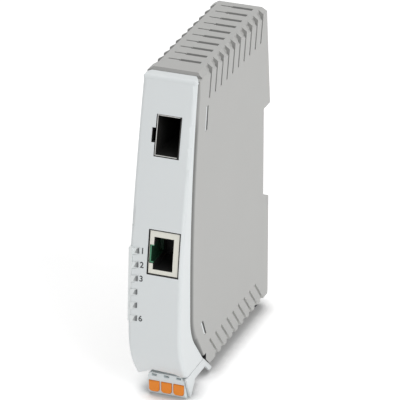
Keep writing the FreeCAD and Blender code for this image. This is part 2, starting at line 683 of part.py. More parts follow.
def sfp_cage():
    """Folded metal cage, open at the front, with a window in its floor for the connector."""
    z0, z1 = CAGE_Z - CAGE_OUT_W / 2, CAGE_Z + CAGE_OUT_W / 2
    tube = box(CAGE_X0, CAGE_X1, -60, CAGE_BACK_Y, z0, z1)
    tube = tube.cut(box(CAGE_X0 + CAGE_T, CAGE_X1 - CAGE_T, -61, CAGE_BACK_Y - CAGE_T,
                        z0 + CAGE_T, z1 - CAGE_T))
    window = box(CAGE_X0 - 1, CAGE_X0 + CAGE_T + 0.1, CONNECTOR_Y0 - 0.3, CONNECTOR_Y1 + 0.3,
                 CAGE_Z - CONNECTOR_HALF - 0.3, CAGE_Z + CONNECTOR_HALF + 0.3)
    return tube.cut(window).common(behind_front(COLLAR_IN))


def sfp_cage_springs():
    """Strap of earthing fingers on the outer side of the cage."""
    y1 = -22.0
    y0 = y1 - FINGER_L
    x, t = CAGE_X1, FINGER_T
    step = CAGE_OUT_W / FINGERS
    z0 = CAGE_Z - CAGE_OUT_W / 2
    strap = box(x, x + t, y1, y1 + 2.0, z0, z0 + CAGE_OUT_W)
    bent = [(x, y1 + 0.5), (x + t, y1 + 0.5), (x + FINGER_PROUD + t, y0 + 2.4), (x + 0.1 + t, y0),
            (x + 0.1, y0), (x + FINGER_PROUD, y0 + 2.4), (x, y1)]
    fingers = []
    for n in range(FINGERS):
        z = z0 + (n + 0.5) * step
        wire = Part.makePolygon([V(px, py, z - FINGER_W / 2) for px, py in bent + bent[:1]])
        fingers.append(Part.Face(wire).extrude(V(0, 0, FINGER_W)))
    return fuse([strap] + fingers)


def sfp_connector():
    """Edge connector at the back of the cage."""
    half = CONNECTOR_HALF
    block = box(CAGE_X0, CAGE_X0 + CONNECTOR_H, CONNECTOR_Y0, CONNECTOR_Y1,
                CAGE_Z - half, CAGE_Z + half)
    slot = box(CARD_X - 1.1, CARD_X + 1.1, CONNECTOR_Y0 - 1, CONNECTOR_Y1 - 2.0,
               CAGE_Z - half + 0.8, CAGE_Z + half - 0.8)
    return block.cut(slot)


def sfp_contacts():
    """Two rows of ten contact leaves inside the edge connector."""
    leaves = []
    for n in range(10):
        z = CAGE_Z + (n - 4.5) * 0.8
        for x0 in (CARD_X - 1.05, CARD_X + 0.75):
            leaves.append(box(x0, x0 + 0.3, CONNECTOR_Y0 + 0.4, CONNECTOR_Y1 - 2.1, z - 0.2, z + 0.2))
    return Part.makeCompound(leaves)


# ---- network socket -------------------------------------------------------------------------

JACK_X1 = JACK_X0 + JACK_H


def rj45_insert():
    """Moulded socket body with its collar, port and latch slot."""
    z0, z1 = JACK_Z - JACK_W / 2, JACK_Z + JACK_W / 2
    t = JACK_T + 0.05
    collar = box(JACK_X0, JACK_X1, -60, COLLAR_BACK_Y, z0, z1).common(behind_front(COLLAR_IN))
    body = box(JACK_X0 + t, JACK_X1 - t, COLLAR_BACK_Y - 0.1, JACK_BACK_Y - t, z0 + t, z1 - t)
    port = box(PORT_X0, PORT_X0 + PORT_H, -60, PORT_BACK_Y, PORT_Z - PORT_W / 2, PORT_Z + PORT_W / 2)
    keyway = box(PORT_X0 - KEYWAY_D, PORT_X0 + 0.1, -60, KEYWAY_BACK_Y,
                 KEYWAY_Z - KEYWAY_W / 2, KEYWAY_Z + KEYWAY_W / 2)
    return fuse([collar, body]).cut([port, keyway])


def rj45_shield():
    """Metal shield round the socket body, standing on the board with four feet."""
    z0, z1 = JACK_Z - JACK_W / 2, JACK_Z + JACK_W / 2
    y0 = COLLAR_BACK_Y + 0.05
    tube = box(JACK_X0, JACK_X1, y0, JACK_BACK_Y, z0, z1)
    tube = tube.cut(box(JACK_X0 + JACK_T, JACK_X1 - JACK_T, y0 - 1, JACK_BACK_Y - JACK_T,
                        z0 + JACK_T, z1 - JACK_T))
    half = KEYWAY_W / 2 + JACK_T
    tube = tube.cut(box(JACK_X0 - 1, PORT_X0 - 0.5, y0 - 1, KEYWAY_BACK_Y + JACK_T,
                        KEYWAY_Z - half, KEYWAY_Z + half))
    feet = [box(BOARD_X, JACK_X0 + 0.1, y, y + 2.0, z, z + JACK_T)
            for y in (-33.5, JACK_BACK_Y - 2.0) for z in (z0, z1 - JACK_T)]
    return fuse([tube] + feet)


def rj45_latch_insert():
    """Green channel that lines the latch slot."""
    f = KEYWAY_FIT
    z0, z1 = KEYWAY_Z - KEYWAY_W / 2 + f, KEYWAY_Z + KEYWAY_W / 2 - f
    x0 = PORT_X0 - KEYWAY_D + f
    channel = box(x0, PORT_X0, -60, KEYWAY_BACK_Y - f, z0, z1)
    channel = channel.cut(box(x0 + 0.5, PORT_X0 + 1, -61, KEYWAY_BACK_Y - 1, z0 + 0.5, z1 - 0.5))
    return channel.common(behind_front(COLLAR_IN + 0.4))


def rj45_contacts():
    """Eight sprung contact wires at the side away from the latch slot."""
    x1 = PORT_X0 + PORT_H - 0.1
    y0, w = -40.5, JACK_WIRE
    path = [(x1, y0), (x1, y0 + 1.6), (x1 - 2.2 + w, -33.0), (x1 - w, PORT_BACK_Y - 0.1),
            (x1 - 2 * w, PORT_BACK_Y - 0.1), (x1 - 2.2, -33.0), (x1 - w, y0)]
    wires = []
    for n in range(JACK_CONTACTS):
        z = PORT_Z + (n - (JACK_CONTACTS - 1) / 2) * JACK_PITCH - w / 2
        wire = Part.makePolygon([V(x, y, z) for x, y in path + path[:1]])
        wires.append(Part.Face(wire).extrude(V(0, 0, w)))
    return Part.makeCompound(wires)


# ---- power plug -----------------------------------------------------------------------------

PIN_Y = (TONGUE_Y0 + TONGUE_Y1) / 2
POLE_XS = [POLE_X + (n - (POLES - 1) / 2) * POLE_PITCH for n in range(POLES)]


def power_header():
    """Socket on the board that the plug's tongue enters from below."""
    w = TONGUE_W / 2 + TONGUE_FIT
    y0, y1 = TONGUE_Y0 - TONGUE_FIT, TONGUE_Y1 + TONGUE_FIT
    t = HEADER_WALL
    block = box(POLE_X - w - t, POLE_X + w + t, y0 - t, y1 + t, HEADER_FOOT_Z, HEADER_TOP_Z)
    lug = box(BOARD_X + SOLDER, BOARD_X + 2.2, PIN_Y + 1.4, y1 + t, HEADER_TOP_Z - 0.1,
              HEADER_TOP_Z + 7.0)
    cavity = box(POLE_X - w, POLE_X + w, y0, y1, HEADER_FOOT_Z - 1, TONGUE_TOP_Z + 0.4)
    h = PIN / 2
    holes = [box(x - h, x + h, PIN_Y - h, PIN_Y + h, HEADER_FOOT_Z, HEADER_TOP_Z + 1)
             for x in POLE_XS]
    return fuse([block, lug]).cut([cavity] + holes)


def header_pins():
    """Three square pins, bent at stepped heights towards the board."""
    h = PIN / 2
    end = BOARD_X + 0.1
    pins = []
    for n, x in enumerate(POLE_XS):
        z = HEADER_TOP_Z + 1.2 + n * PIN_RISE
        upright = box(x - h, x + h, PIN_Y - h, PIN_Y + h, PIN_FOOT_Z, z + h)
        level = box(end, x + h, PIN_Y - h, PIN_Y + h, z - h, z + h)
        pins.append(fuse([upright, level]))
    return Part.makeCompound(pins)


def lever_recess(x, z0, z1, grow, y1):
    """Lever outline with a rounded foot, grown by a clearance."""
    w = LEVER_W / 2 + grow
    block = box(x - w, x + w, PLUG_FRONT_Y - LEVER_PROUD, y1, z0 - grow, z1 + grow)
    feet = [e for e in block.Edges
            if all(v.Z < z0 for v in e.Vertexes) or all(v.Z <= z0 - grow + 0.01 for v in e.Vertexes)]
    feet = [e for e in feet if abs(e.Vertexes[0].Y - e.Vertexes[-1].Y) > 0.5]
    return block.makeFillet(1.2, feet)


def plug_housing():
    """Plug body with lever recesses, test slots, wire funnels and the tongue."""
    x0, x1 = POLE_X - PLUG_W / 2, POLE_X + PLUG_W / 2
    body = prism_x([(PLUG_FRONT_Y, PLUG_TOP_Z), (PLUG_FRONT_Y, PLUG_FOOT_Z + 1.6),
                    (PLUG_FRONT_Y + 1.6, PLUG_FOOT_Z), (PLUG_BACK_Y - 2.0, PLUG_FOOT_Z),
                    (PLUG_BACK_Y, PLUG_FOOT_Z + 2.0), (PLUG_BACK_Y, PLUG_TOP_Z)], x0, x1)
    top_z, c = PLUG_TOP_Z, PLUG_EDGE
    shoulders = [prism_y([(x1 + 1, top_z + 1), (x1 + 1, top_z - c - 1), (x1 - c - 1, top_z + 1)],
                         -60, 0),
                 prism_y([(x0 - 1, top_z + 1), (x0 - 1, top_z - c / 2 - 1), (x0 + c / 2 + 1, top_z + 1)],
                         -60, 0)]
    tongue = box(POLE_X - TONGUE_W / 2, POLE_X + TONGUE_W / 2, TONGUE_Y0, TONGUE_Y1,
                 PLUG_TOP_Z - 0.1, TONGUE_TOP_Z)
    w, h, deep, foot = TEST_SLOT
    cuts = []
    for x in POLE_XS:
        back = PLUG_FRONT_Y - LEVER_PROUD + LEVER_T + LEVER_TRAVEL + LEVER_STOP
        cuts.append(lever_recess(x, LEVER_Z0, LEVER_Z1, LEVER_FIT, back))
        cuts.append(box(x - w / 2, x + w / 2, PLUG_FRONT_Y - 1, PLUG_FRONT_Y + deep, foot, foot + h))
        cuts.append(box(x - CHAMBER, x + CHAMBER, PIN_Y - CHAMBER, PIN_Y + CHAMBER,
                        CHAMBER_FOOT_Z, CHAMBER_TOP_Z))
        cuts.append(box(x - PIN, x + PIN, PIN_Y - PIN, PIN_Y + PIN, CHAMBER_TOP_Z - 1,
                        TONGUE_TOP_Z + 1))
        cuts.append(Part.makeCone(FUNNEL_R + 0.5, FUNNEL_R, 1.2, V(x, PIN_Y, PLUG_FOOT_Z)))
        cuts.append(Part.makeCylinder(FUNNEL_R, 4, V(x, PIN_Y, PLUG_FOOT_Z)))
    return fuse([body.cut(shoulders), tongue]).cut(cuts)


def plug_contacts():
    """Three square contact clips."""
    clips = []
    c, i = CLIP, CLIP - CLIP_T
    for x in POLE_XS:
        tube = box(x - c, x + c, PIN_Y - c, PIN_Y + c, CLIP_FOOT_Z, CHAMBER_TOP_Z - 0.2)
        clips.append(tube.cut(box(x - i, x + i, PIN_Y - i, PIN_Y + i, 0, 30)))
    return Part.makeCompound(clips)


def clamp_springs():
    """Three bent leaves that hold the wires."""
    y0 = PIN_Y - CHAMBER + 0.1
    y1 = PIN_Y + CHAMBER - 0.4
    top, t = CLIP_FOOT_Z - 0.3, SPRING_T
    path = [(y0, top), (y0 + t, top), (y0 + t, CHAMBER_FOOT_Z + 1.4), (y1, CHAMBER_FOOT_Z + 3.0),
            (y1 + t / 2, CHAMBER_FOOT_Z + 3.0 - t), (y0 + t, CHAMBER_FOOT_Z + 0.4),
            (y0, CHAMBER_FOOT_Z + 0.4)]
    return Part.makeCompound([prism_x(path, x - CLIP, x + CLIP) for x in POLE_XS])


def release_lever(x):
    """One orange lever, bevelled along its upper edge."""
    lever = lever_recess(x, LEVER_Z0, LEVER_Z1, 0.0, PLUG_FRONT_Y - LEVER_PROUD + LEVER_T)
    front = [e for e in lever.Edges if all(abs(v.Y - (PLUG_FRONT_Y - LEVER_PROUD)) < 0.01
                                           for v in e.Vertexes)]
    return lever.makeChamfer(0.25, front)


# ---- plug frame -----------------------------------------------------------------------------

def frame_side(x0, x1, cheek):
    """One side plate of the frame: rear hook, and the front cheek where there is one."""
    top, foot = FRAME_TOP_Z, FRAME_FOOT_Z
    rear = seam_line(SEAM_GAP, ROOF_Z, SEAM_FOOT_Z)[0][0] - FRAME_FIT
    slope = 1 / math.tan(math.radians(NOSE_TILT))
    tip = rear + HOOK_DROP * slope
    low = top - HOOK_DROP
    path = [(rear, top), (tip - 0.5, low + 0.5), (tip - 1.1, low), (tip - HOOK_T, low),
            (rear + (top - foot) * slope - HOOK_T, foot), (PLUG_BACK_Y - FRAME_FIT, foot)]
    if cheek:
        path += [(CHEEK_TIP_Y + CHEEK_TIP_T, 0.0), (CHEEK_TIP_Y, 0.0), (CHEEK_FRONT_Y, top)]
    else:
        path.append((PLUG_BACK_Y - FRAME_FIT, top))
    return prism_x(path, x0, x1)


def terminal_frame():
    """White frame behind and beside the plug, with two rear hooks and one front cheek."""
    side, t = FRAME_SIDE, CHEEK_T
    y0 = PLUG_BACK_Y + FRAME_FIT
    rear = seam_line(SEAM_GAP, ROOF_Z, SEAM_FOOT_Z)[0][0] - FRAME_FIT
    plate = box(-side + 0.1, side - 0.1, y0, rear - 0.2, FRAME_TOP_Z - FRAME_PLATE, FRAME_TOP_Z)
    wall = box(-side + 0.1, side - 0.1, y0, y0 + FRAME_PLATE, FRAME_FOOT_Z, FRAME_TOP_Z)
    return fuse([frame_side(side - t, side, True), frame_side(-side, -side + t, False), plate, wall])


# ---- rail latch -----------------------------------------------------------------------------

def rail_latch():
    """Sliding latch with a bevelled nose, a spring window and a slotted pull tab."""
    y0, y1 = LATCH_Y0, LATCH_Y1
    bar = prism_x([(y0, 0.0), (y1, 0.0), (y1, NOTCH_FOOT_Z), (y1 - LATCH_NOSE, LATCH_TOP_Z),
                   (y0, LATCH_TOP_Z)], -LATCH_HALF, LATCH_HALF)
    w, h, foot = PULL_SLOT
    return bar.cut([box(-WINDOW_HALF, WINDOW_HALF, y0 - 1, y1 + 1, WINDOW_Z0, WINDOW_Z1),
                    box(-w / 2, w / 2, y0 - 1, y1 + 1, foot, foot + h)])


def latch_spring():
    """Compression spring between the housing's peg and the top of the latch's window."""
    wire = SPRING_WIRE / 2
    z0 = WINDOW_Z0 + LATCH_FIT + PEG_H + wire + 0.05
    z1 = WINDOW_Z1 - wire - 0.05
    centre = V(0, (LATCH_Y0 + LATCH_Y1) / 2, z0)
    helix = Part.makeHelix((z1 - z0) / SPRING_TURNS, z1 - z0, SPRING_R)
    helix.translate(centre)
    x0 = SPRING_R
    section = Part.makePolygon([centre + V(x0 + dx * wire, 0, dz * wire)
                                for dx, dz in ((-1, 0), (0, -1), (1, 0), (0, 1), (-1, 0))])
    return Part.Wire(helix.Edges).makePipeShell([section], True, True)


NODES = {
    "housing": housing,
    "front_cover": front_cover,
    "light_guide": light_guide,
    "led_chips": led_chips,
    "circuit_board": circuit_board,
    "converter_chip": lambda: bevelled(CONVERTER, 0.2),
    "phy_chip": lambda: bevelled(PHY, 0.2),
    "isolation_transformer": lambda: bevelled(TRANSFORMER, 0.4),
    "crystal_can": crystal_can,
    "power_fuse": lambda: bevelled(FUSE, 0.3),
    "power_inductor": lambda: bevelled(INDUCTOR, 0.8),
    "electrolytic_capacitors": lambda: Part.makeCompound(
        [standing_can(y, z, CAPACITOR_R, CAPACITOR_L) for y, z in CAPACITORS]),
    "chip_capacitors": chip_capacitors,
    "sfp_cage": sfp_cage,
    "sfp_cage_springs": sfp_cage_springs,
    "sfp_connector": sfp_connector,
    "sfp_contacts": sfp_contacts,
    "rj45_insert": rj45_insert,
    "rj45_shield": rj45_shield,
    "rj45_latch_insert": rj45_latch_insert,
    "rj45_contacts": rj45_contacts,
    "power_header": power_header,
    "header_pins": header_pins,
    "plug_housing": plug_housing,
    "plug_contacts": plug_contacts,
    "clamp_springs": clamp_springs,
    "terminal_frame": terminal_frame,
    "rail_latch": rail_latch,
    "latch_spring": latch_spring,
}

for node, make in NODES.items():
    save(make(), node)
for number, lever_x in enumerate(POLE_XS, 1):
    save(release_lever(lever_x), "release_lever_%d" % number)
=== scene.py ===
"""Dresses the fibre media converter: plastics with painted shade, printed digits, marks of painted
shade, sheet metal, light and camera.
"""
import math

import bmesh
import bpy
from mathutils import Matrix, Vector
from mathutils.bvhtree import BVHTree


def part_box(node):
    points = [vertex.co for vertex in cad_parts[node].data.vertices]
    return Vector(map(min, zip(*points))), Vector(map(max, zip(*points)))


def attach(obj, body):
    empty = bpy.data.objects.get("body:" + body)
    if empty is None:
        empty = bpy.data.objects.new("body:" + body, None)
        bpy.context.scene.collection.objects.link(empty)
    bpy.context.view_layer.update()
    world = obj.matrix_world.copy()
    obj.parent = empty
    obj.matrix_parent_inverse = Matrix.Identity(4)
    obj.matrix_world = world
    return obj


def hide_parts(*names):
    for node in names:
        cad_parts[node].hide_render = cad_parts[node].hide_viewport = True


bl_info = {
    "name": "Rail media converter",
    "version": (1, 0, 0),
    "blender": (4, 5, 0),
    "location": "View3D > Sidebar > Converter",
    "description": "Finishes, printed marks and studio for a rail-mounted media converter",
    "category": "Object",
}

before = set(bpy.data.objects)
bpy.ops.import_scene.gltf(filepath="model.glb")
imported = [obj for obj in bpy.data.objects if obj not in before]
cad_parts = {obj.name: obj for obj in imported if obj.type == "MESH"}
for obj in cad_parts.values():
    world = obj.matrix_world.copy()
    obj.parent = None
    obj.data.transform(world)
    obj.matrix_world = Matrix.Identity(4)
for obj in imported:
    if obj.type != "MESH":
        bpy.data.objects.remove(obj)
MM = 0.001
WELD = 0.002 * MM            # corners nearer than this are one corner
FAR = 1.0                    # past the converter on any side
IN_FRONT = -0.2              # y where a ray towards the cover starts
CREASE = math.radians(32.0)  # edges sharper than this stay sharp
QUARTER_STEPS = 6            # steps of a modelled quarter circle
GRAIN_DEPTH = 0.02 * MM      # height of the moulded grain
DRIFT_CELLS = 60.0           # cells per metre of the drift in roughness
DRIFT = 0.05                 # how far the roughness drifts to each side

# Housing: notches in the long edges of roof and floor. A row's lean is the tangent of its slope.
ROOF_NOTCHES = {"count": 10, "first_y": 39.0 * MM, "pitch": 6.0 * MM,
                "lean": math.tan(math.radians(12.4))}
FLOOR_NOTCHES = {"count": 9, "first_y": 41.89 * MM, "pitch": 6.1 * MM,
                 "lean": math.tan(math.radians(41.3))}
FLOOR_NOTCH_Z = 3.5 * MM     # height that the floor's notches are placed from

# One notch, in mm: its place and length along the groove, and its (x, rise) sections.
NOTCH_REAR = 0.55            # rear wall behind the groove's middle
NOTCH_LENGTH = 4.9           # from that wall to where the notch runs out
NOTCH_REAR_SECTION = ((8.2, 0.4), (11.04, -3.5), (11.6, 0.6))
NOTCH_FRONT_SECTION = ((8.3, 0.4), (11.1, -3.0), (11.6, 0.6))

# Housing: front edge of the roof and outer edge along the joint.
BROW_BACK = -23.8 * MM       # front edge of the roof
BROW_RUN = 1.2 * MM          # depth of the chamfer in front of it
BROW_FALL = 0.8 * MM         # fall of that chamfer
BROW_PAST = 1.5              # how far its cutter runs on over the roof, in chamfers
BROW_FRONT = -40.0 * MM      # front of that cutter
BROW_Z = 125.2 * MM          # ledge under the cover's top edge
LIP_R = 2.2 * MM             # rounded outer edge of the housing along the joint
LIP_Y = -27.0 * MM           # that edge lies in front of this
CUT_HALF = 12.0 * MM         # half width of a cutter that goes right through
CUT_FRONT = -60.0 * MM       # front of such a cutter
CUT_TOP = 130.0 * MM         # and its top

# Cover: rounded top edge.
LID_BACK = -25.2 * MM        # rear of the top edge
LID_FRONT = -30.1 * MM       # front of the cover below the rounding
LID_R = 1.6 * MM             # radius of the rounding
LID_Z = 124.6 * MM           # height where the top edge starts
LID_TOP = BROW_Z + 1.1 * MM  # its top
LID_JOINT = -28.4 * MM       # rear of the cover below the ledge
LID_TAPER = 2.2 * MM         # how much narrower the top edge is at its rear
LID_BREAK = 0.4 * MM         # broken edge at its rear
LID_GAP = 0.1 * MM           # gap over the ledge
LID_FOOT = 120.0 * MM        # foot of the body that gives the top edge its plan
EDGE_R = 1.4 * MM            # rounded long edges of the cover
CORNER_R = 1.5 * MM          # rounded top corners of the cover

# Painted shade and painted light on walls: where they begin and end, and their colours.
FLOOR_BAND = (14.0 * MM, 22.0 * MM)      # from the floor's grooves up to the joint
ROOF_BAND = (106.0 * MM, 112.0 * MM)     # from the joint up to the roof's slots
LIP_BAND = (-18.0 * MM, -16.0 * MM)      # from the joint back to the grooves
LIP_NORMALS = (-0.05, -0.55)             # from sideways to turned to the front, on the lip
WALL_NORMALS = (-0.60, -0.80)            # the same on the walls of windows and mouths
SHADE_SHARE = 0.45                       # share of the colour left on faces in the shade
ROOF_SHADE = 0.6                         # how much of that shade the roof's slots get
GROOVE_PAINTED_LIGHT = (0.72, 0.72, 0.70)         # painted light on walls of the low grooves that look to the front
FOOT_SHADE_Y = (-25.5 * MM, -21.0 * MM)        # painted shade in the nook at the joint's lower end, along the depth
FOOT_SHADE_Z = (7.5 * MM, 11.1 * MM)           # and along the height
WINDOW_RIM = 0.7 * MM        # how far a window in the cover may reach past its port
WINDOW_LEFT = 2.6 * MM       # and on the left, where the key slot is
PORT_GAP_SHADE = 0.52 * MM         # painted shade of the gap round the network port
CAGE_RIM = 0.7 * MM          # cage's right edge, which gets painted shade
MOUTH_DEPTHS = (5.0 * MM, 6.5 * MM)      # depths between which painted shade fills a mouth
DARK_WALL = (0.02, 0.02, 0.02)           # colours of painted shade, where hardly any light comes
DARK_CAGE = (0.05, 0.05, 0.048)
DARK_COLLAR = (0.015, 0.015, 0.015)
DARK_LATCH = (0.008, 0.035, 0.018)

# Painted shade of the light guide's fans as small triangles, and printed digits.
MARK_LEFT = -8.5 * MM        # left edge of the triangles
MARK_TIP = 0.6               # share of its width that a triangle loses towards its top
MARK_CELLS = 8               # cells across and up a triangle
FAN_SHADE_PALE = (0.60, 0.62, 0.62)           # paler painted shade at a triangle's left edge
LIGHTS = 6
LIGHT_END = 0.8 * MM         # middle of the last light from the end of the row
DIGITS = (1, 2, 3, 6)
DIGIT_X = -5.3 * MM          # middle of the digits
CAPITAL = 0.7                # height of a digit as a share of the letter size

# Stage: lights as (place, size, power), and the camera.
LIGHT_TARGET = (0.0, 0.0, 0.05)
KEY_LIGHT = ((1.6, -0.9, 1.3), 1.4, 18.5)
TOP_LIGHT = ((-0.2, 0.2, 1.8), 1.6, 8.5)
CAMERA_PLACE = (0.47353, -1.22563, 0.68778)
CAMERA_TURN = (math.radians(64.594), 0.0, math.radians(21.117))
CAMERA_LENS = 347.58
WORLD_LIGHT = 0.44           # strength of the surroundings as light
FLOOR_HALF = 4.0             # half the floor's side
FLOOR_GLOW = 0.2             # floor's own light on the object
FLOOR_SEEN = 0.45            # and as it is seen
NOOK_REACH = 8.5 * MM        # how far the painted contact shadow reaches
SHADE_LEFT = (-8.0 * MM, -15.0 * MM)     # x between which that shadow fades out
FLOOR_TONES = ((0.62, 0.62, 0.62, 1.0), (0.85, 0.85, 0.85, 1.0))    # in the painted shadow, outside it

FLOAT_SOCKET = "NodeSocketFloat"
AXES = {"X": (1.0, 0.0, 0.0), "Y": (0.0, 1.0, 0.0), "Z": (0.0, 0.0, 1.0)}


class ConverterSizes(bpy.types.PropertyGroup):
    """Sizes of the printed digits and of the triangles of painted shade beside the lights."""

    # A light mark is a triangle of painted shade where the light guide's fan shows grey.
    mark_width: bpy.props.FloatProperty(
        name="Light mark width", description="Width of the printed triangle beside each light",
        default=1.9 * MM, unit="LENGTH")
    mark_height: bpy.props.FloatProperty(
        name="Light mark height", description="Height of the printed triangle beside each light",
        default=2.3 * MM, unit="LENGTH")
    digit_height: bpy.props.FloatProperty(
        name="Digit height", description="Height of the printed digits", default=2.2 * MM,
        unit="LENGTH")
    digit_weight: bpy.props.FloatProperty(
        name="Digit weight", description="How much the digits' strokes are thickened",
        default=0.07 * MM, unit="LENGTH")
    print_lift: bpy.props.FloatProperty(
        name="Print thickness", description="Thickness of the printed ink", default=0.02 * MM,
        unit="LENGTH")
    grain_scale: bpy.props.FloatProperty(
        name="Grain scale", description="Fineness of the moulded grain, in cells per metre",
        default=2600.0)


def colour(name, text, value):
    """One colour property."""
    return bpy.props.FloatVectorProperty(name=name, description=text, default=value, size=3,
                                         min=0.0, max=1.0, subtype="COLOR")


class ConverterColours(bpy.types.PropertyGroup):
    """Colours of the converter's plastics, metals, ink and board."""

    grey: colour("Housing grey", "Moulded housing", (0.478, 0.478, 0.466))
    white: colour("Cover white", "Front cover and plug frame", (0.765, 0.797, 0.805))
    plug: colour("Plug white", "Plug body", (0.76, 0.81, 0.82))
    guide: colour("Light guide", "Frosted light guide", (0.80, 0.83, 0.83))
    ivory: colour("Collar ivory", "Network socket body", (0.83, 0.82, 0.74))
    green: colour("Latch green", "Liner of the latch slot", (0.10, 0.36, 0.20))
    orange: colour("Lever orange", "Release levers", (0.90, 0.26, 0.004))
    latch: colour("Latch grey", "Rail latch", (0.10, 0.10, 0.11))
    # Ink of the digits, and the colour of the painted shade in the light marks.
    ink: colour("Ink", "Printed marks and digits", (0.05, 0.055, 0.06))
    steel: colour("Steel", "Module cage, its springs and the socket's shield", (0.60, 0.60, 0.58))
    gold: colour("Contact gold", "Contacts of both ports", (0.78, 0.55, 0.22))
    tin: colour("Tin", "Plug clips, clamp springs and pins", (0.66, 0.65, 0.62))
    board: colour("Board", "Solder mask of the board", (0.02, 0.12, 0.06))
    chip: colour("Chip black", "Moulded parts on the board", (0.02, 0.02, 0.022))
    can: colour("Can metal", "Cans of the crystal and the capacitors", (0.72, 0.72, 0.73))
    ceramic: colour("Ceramic", "Small capacitors", (0.38, 0.26, 0.15))
    resin: colour("Light resin", "Light chips", (0.82, 0.82, 0.72))


def settings():
    """The scene's sizes and colours."""
    return bpy.context.scene.converter_sizes, bpy.context.scene.converter_colours


# ---- materials ------------------------------------------------------------------------------

def grain_group():
    """Shared node group: fine moulded grain as a height, and a slow drift of the roughness."""
    found = bpy.data.node_groups.get("moulded_grain")
    if found:
        return found
    group = bpy.data.node_groups.new("moulded_grain", "ShaderNodeTree")
    socket = group.interface.new_socket
    socket("Scale", in_out="INPUT", socket_type=FLOAT_SOCKET)
    socket("Base Roughness", in_out="INPUT", socket_type=FLOAT_SOCKET)
    socket("Height", in_out="OUTPUT", socket_type=FLOAT_SOCKET)
    socket("Roughness", in_out="OUTPUT", socket_type=FLOAT_SOCKET)
    add, link = group.nodes.new, group.links.new
    inputs, outputs = add("NodeGroupInput"), add("NodeGroupOutput")
    coords = add("ShaderNodeTexCoord")
    fine = add("ShaderNodeTexNoise")
    fine.inputs["Detail"].default_value = 3.0
    slow = add("ShaderNodeTexNoise")
    slow.inputs["Scale"].default_value = DRIFT_CELLS
    drift = add("ShaderNodeMapRange")
    drift.inputs["To Min"].default_value = -DRIFT
    drift.inputs["To Max"].default_value = DRIFT
    total = add("ShaderNodeMath")
    link(coords.outputs["Object"], fine.inputs["Vector"])
    link(coords.outputs["Object"], slow.inputs["Vector"])
    link(inputs.outputs["Scale"], fine.inputs["Scale"])
    link(slow.outputs["Fac"], drift.inputs["Value"])
    link(drift.outputs["Result"], total.inputs[0])
    link(inputs.outputs["Base Roughness"], total.inputs[1])
    link(fine.outputs["Fac"], outputs.inputs["Height"])
    link(total.outputs["Value"], outputs.inputs["Roughness"])
    return group


def material(name, base, roughness, grain=0.0, metallic=0.0, coat=0.0, round_edges=0.0):
    """A material on the shared grain; round_edges softens sharp corners over that radius."""
    sizes, _ = settings()
    mat = bpy.data.materials.new(name)
    mat.use_nodes = True
    tree = mat.node_tree
    add, link = tree.nodes.new, tree.links.new
    shader = tree.nodes["Principled BSDF"]
    shader.inputs["Base Color"].default_value = (*base, 1.0)
    shader.inputs["Metallic"].default_value = metallic
    shader.inputs["Coat Weight"].default_value = coat
    shared = add("ShaderNodeGroup")
    shared.node_tree = grain_group()
    shared.inputs["Scale"].default_value = sizes.grain_scale
    shared.inputs["Base Roughness"].default_value = roughness
    link(shared.outputs["Roughness"], shader.inputs["Roughness"])
    bump = add("ShaderNodeBump")
    bump.inputs["Strength"].default_value = grain
    bump.inputs["Distance"].default_value = GRAIN_DEPTH
    link(shared.outputs["Height"], bump.inputs["Height"])
    if round_edges:
        bevel = add("ShaderNodeBevel")
        bevel.samples = 4
        bevel.inputs["Radius"].default_value = round_edges
        link(bevel.outputs["Normal"], bump.inputs["Normal"])
    link(bump.outputs["Normal"], shader.inputs["Normal"])
    return mat


def math_node(tree, operation, one, other):
    """Output of a sum on two values; the first is 1 where it is None."""
    node = tree.nodes.new("ShaderNodeMath")
    node.operation = operation
    if one is None:
        node.inputs[0].default_value = 1.0
    else:
        tree.links.new(one, node.inputs[0])
    tree.links.new(other, node.inputs[1])
    return node.outputs["Value"]


def parts_of(tree, source):
    """The X, Y and Z outputs of one output of Texture Coordinate."""
    coords, parts = tree.nodes.new("ShaderNodeTexCoord"), tree.nodes.new("ShaderNodeSeparateXYZ")
    tree.links.new(coords.outputs[source], parts.inputs["Vector"])
    return parts.outputs


def shared_mask(name, rows, build):
    """Shared node group that puts out one mask; rows are its inputs' names, kinds and values."""
    found = bpy.data.node_groups.get(name)
    if found:
        return found
    group = bpy.data.node_groups.new(name, "ShaderNodeTree")
    for title, kind, value in rows:
        socket = group.interface.new_socket(title, in_out="INPUT", socket_type=kind)
        socket.default_value = value
    group.interface.new_socket("Mask", in_out="OUTPUT", socket_type=FLOAT_SOCKET)
    inputs, outputs = group.nodes.new("NodeGroupInput"), group.nodes.new("NodeGroupOutput")
    group.links.new(build(group, inputs.outputs), outputs.inputs["Mask"])
    return group


def placed(tree, group, values):
    """Mask output of a shared group, placed in a tree with values or outputs of its own."""
    node = tree.nodes.new("ShaderNodeGroup")
    node.node_tree = group
    for name, value in values.items():
        if isinstance(value, bpy.types.NodeSocket):
            tree.links.new(value, node.inputs[name])
        else:
            node.inputs[name].default_value = value
    return node.outputs["Mask"]


def front_mask(tree, sideways, facing):
    """1 on faces that look to the front, 0 on those that look elsewhere."""
    def build(group, given):
        step = group.nodes.new("ShaderNodeMapRange")
        group.links.new(parts_of(group, "Normal")["Y"], step.inputs["Value"])
        group.links.new(given["Sideways"], step.inputs["From Min"])
        group.links.new(given["Facing"], step.inputs["From Max"])
        return step.outputs["Result"]
    rows = (("Sideways", FLOAT_SOCKET, -0.70), ("Facing", FLOAT_SOCKET, -0.74))
    return placed(tree, shared_mask("front_mask", rows, build),
                  {"Sideways": sideways, "Facing": facing})


